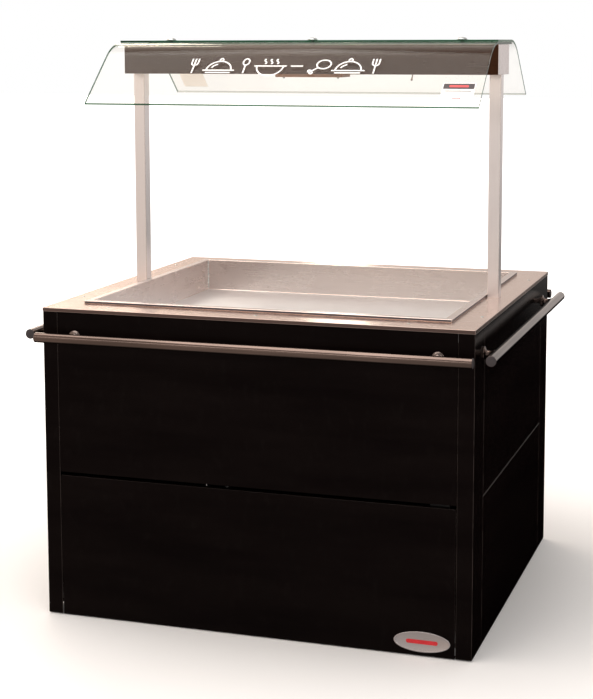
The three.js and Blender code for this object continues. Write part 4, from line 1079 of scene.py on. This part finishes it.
def add_knob():
    """A fluted knob with a pointer line, and a ring of dial ticks on the plate.
    Its rings are shares of the knob's radius and of its depth."""
    low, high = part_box("thermostat_knob")
    middle = centre_of("thermostat_knob")
    radius = (high.x - low.x) / 2
    depth = high.y - low.y
    angles = full_turn(KNOB_STEPS)
    rings = []
    for share, height in KNOB_RINGS:
        fluted = FLUTE_DEPTH if FLUTED_HEIGHTS[0] < height < FLUTED_HEIGHTS[1] else 0.0
        radii = [radius * (share - fluted * (0.5 + 0.5 * math.cos(FLUTES * a))) for a in angles]
        rings.append([(r * math.cos(a), r * math.sin(a), height * depth) for r, a in zip(radii, angles)])
    bm = bmesh.new()
    skin(bm, rings)
    bm.transform(facing_rear(middle.x, low.y, middle.z))
    stand_in("thermostat_knob", mesh_of(bm, "fine_thermostat_knob"), [PLASTIC], edge=0.0004)
    line = bmesh.new()
    on_face = facing_rear(middle.x, high.y - 0.0001, middle.z)
    outward = Matrix.Translation((0, radius * 0.4, 0))
    prism(line, rounded_box(0.0009, radius * 0.3, 0.0008), 0.0003, on_face @ outward)
    place("knob_pointer", mesh_of(line, "knob_pointer"), "knob", [WHITE_FILM])
    ticks = bmesh.new()
    plate_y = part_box("control_plate")[1].y
    outward = Matrix.Translation((0, radius + 0.006, 0))
    for k in range(DIAL_TICKS):
        angle = math.radians(-DIAL_SWEEP / (DIAL_TICKS - 1) * k)
        spoke = facing_rear(middle.x, plate_y, middle.z) @ Matrix.Rotation(angle, 4, "Z")
        length = 0.0035 if k % 5 == 0 else 0.0022
        prism(ticks, rounded_box(0.0006, length, 0.0005), 0.0002, spoke @ outward)
    place("dial_ticks", mesh_of(ticks, "dial_ticks"), "cabinet", [DARK_FILM])


def add_pilot_lamp():
    """An amber lens in a plated bezel."""
    low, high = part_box("pilot_lamp")
    middle = centre_of("pilot_lamp")
    matrix = aimed(Vector((middle.x, low.y, middle.z)), (0, 1, 0))
    depth = (high.y - low.y) / MM
    lens = [(0, 0), (6, 0), (6, depth - 3.6), (5.8, depth - 2.4), (5.0, depth - 1.0), (3.2, depth - 0.2),
            (0, depth)]
    mesh = turned("fine_pilot_lamp", lens, matrix, 40)
    stand_in("pilot_lamp", mesh, [AMBER])
    face = depth - 5.7
    bezel = [(6.1, face), (8, face), (8, face + 1.2), (7.2, face + 2.2), (6.1, face + 2.2)]
    ring = turned("pilot_bezel", bezel, matrix, 40, closed=True)
    place("pilot_bezel", ring, "cabinet", [POLISHED], edge=0.0002)


def add_gland():
    """A cable gland: a shank, a round nut and a ribbed collar round an open bore."""
    low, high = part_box("cable_gland")
    middle = centre_of("cable_gland")
    matrix = aimed(Vector((middle.x, low.y, middle.z)), (0, 1, 0))
    depth = (high.y - low.y) / MM
    ribs = [(11 - 0.7 * (k % 2), depth - 12 + k * 0.9) for k in range(9)]
    outer = [(10, 0), (10, 14.2), (14, 14.2), (14, 19.4), (11, 20.6)] + ribs + [(7, depth)]
    profile = outer + [(5, depth), (5, 0)]
    mesh = turned("fine_cable_gland", profile, matrix, 48, closed=True)
    stand_in("cable_gland", mesh, [PLASTIC], edge=0.0003)


# ---- studio

FLOOR_HALF = 40.0
FLOOR_GLOW = (0.0, 1.0)
FLOOR_FADE = (0.6, 4.6)
# The mirrored room: brightness from front to rear above and below the horizon, the heights
# between which one turns into the other, and its tint on the left and on the right
ABOVE = (0.64, 0.82)
BELOW = (0.5, 0.0)
HORIZON = (-0.17, -0.05)
ROOM_LEFT = (1.15, 0.98, 0.86)
ROOM_RIGHT = (0.88, 0.83, 0.8)


def add_floor():
    """A pale floor that glows more with distance, so that it fades into the white behind."""
    material, tree, shader = new_material("studio_floor")
    drift = noise(tree, (0.8,) * 3, 3.0, 0.5)
    pale = mix_colour(tree, remap(tree, drift), rgba(FLOOR_DARK), rgba(FLOOR_LIGHT))
    tree.links.new(pale, shader.inputs["Base Color"])
    tree.links.new(remap(tree, drift, 0.6, 0.7), shader.inputs["Roughness"])
    shader.inputs["Specular IOR Level"].default_value = 0.1
    metres = add_node(tree, "TexCoord").outputs["Object"]
    away = add_node(tree, "VectorMath", {0: metres}, operation="LENGTH").outputs["Value"]
    tree.links.new(remap(tree, away, *FLOOR_GLOW, *FLOOR_FADE), shader.inputs["Emission Strength"])
    shader.inputs["Emission Color"].default_value = rgba(WHITE)
    bm = bmesh.new()
    bmesh.ops.create_grid(bm, x_segments=1, y_segments=1, size=FLOOR_HALF)
    mesh = mesh_of(bm, "floor")
    floor = bpy.data.objects.new("floor", mesh)
    mesh.materials.append(material)
    floor.visible_glossy = False
    SCENE.collection.objects.link(floor)


# Name, place, the point it faces, width and height in metres, watts, and colour
LIGHTS = (
    ("overhead", (-0.6, -0.6, 3.6), (0, 0, 0.6), (3.2, 2.6), 75, (1.0, 0.96, 0.92)),
    ("rear_left", (-2.9, 3.4, 3.1), (0, 0, 0.9), (2.0, 1.6), 44, (1.0, 0.88, 0.76)),
    ("rear_spot", (-1.02, 3.67, 1.61), (0.25, -0.5, 0.85), (0.25, 0.3), 2.4, (1.0, 0.9, 0.78)),
    ("front_strip", (-1.5, -4.6, 2.6), (0, -0.6, 0.8), (3.4, 0.6), 14, (1.0, 0.97, 0.95)),
    ("front_fill", (3.4, -4.6, 2.4), (0, 0, 1.0), (1.6, 1.6), 30, (1.0, 0.97, 0.95)),
)


def add_area_light(name, at, target, size, power, colour):
    data = bpy.data.lights.new(name, "AREA")
    data.shape = "RECTANGLE"
    data.size, data.size_y = size
    data.energy = power
    data.color = colour
    light = bpy.data.objects.new(name, data)
    light.location = at
    light.rotation_euler = (Vector(target) - Vector(at)).to_track_quat("-Z", "Y").to_euler()
    SCENE.collection.objects.link(light)


def add_world():
    """White to the camera. What the object mirrors is bright above the horizon and most of all
    behind; below, it is dimmer in front and dark behind. It is warmer on the left."""
    world = bpy.data.worlds.new("studio")
    SCENE.world = world
    world.use_nodes = True
    tree = world.node_tree
    background = tree.nodes["Background"]
    direction = add_node(tree, "TexCoord").outputs["Generated"]
    parts = add_node(tree, "SeparateXYZ", {"Vector": direction})
    above = remap(tree, parts.outputs["Y"], *ABOVE, -0.8, 0.6)
    below = remap(tree, parts.outputs["Y"], *BELOW, -0.3, 0.2)
    level = remap(tree, parts.outputs["Z"], 0.0, 1.0, *HORIZON)
    amount = add_node(tree, "Mix", {0: level, 2: below, 3: above}).outputs[0]
    rightward = remap(tree, parts.outputs["X"], 0.0, 1.0, -0.5, 0.0)
    room = mix_colour(tree, rightward, rgba(ROOM_LEFT), rgba(ROOM_RIGHT))
    seen = add_node(tree, "LightPath").outputs["Is Camera Ray"]
    tree.links.new(mix_colour(tree, seen, room, rgba(WHITE)), background.inputs["Color"])
    strength = add_node(tree, "Mix", {0: seen, 2: amount, 3: 1.0}).outputs[0]
    tree.links.new(strength, background.inputs["Strength"])


SCENE.view_settings.view_transform = "Standard"
SCENE.view_settings.look = "None"

add_camera()
add_cabinet()
add_badge()
add_worktop()
add_hood()
add_glass()
add_rails()
add_controls()
add_floor()
add_world()
for light in LIGHTS:
    add_area_light(*light)
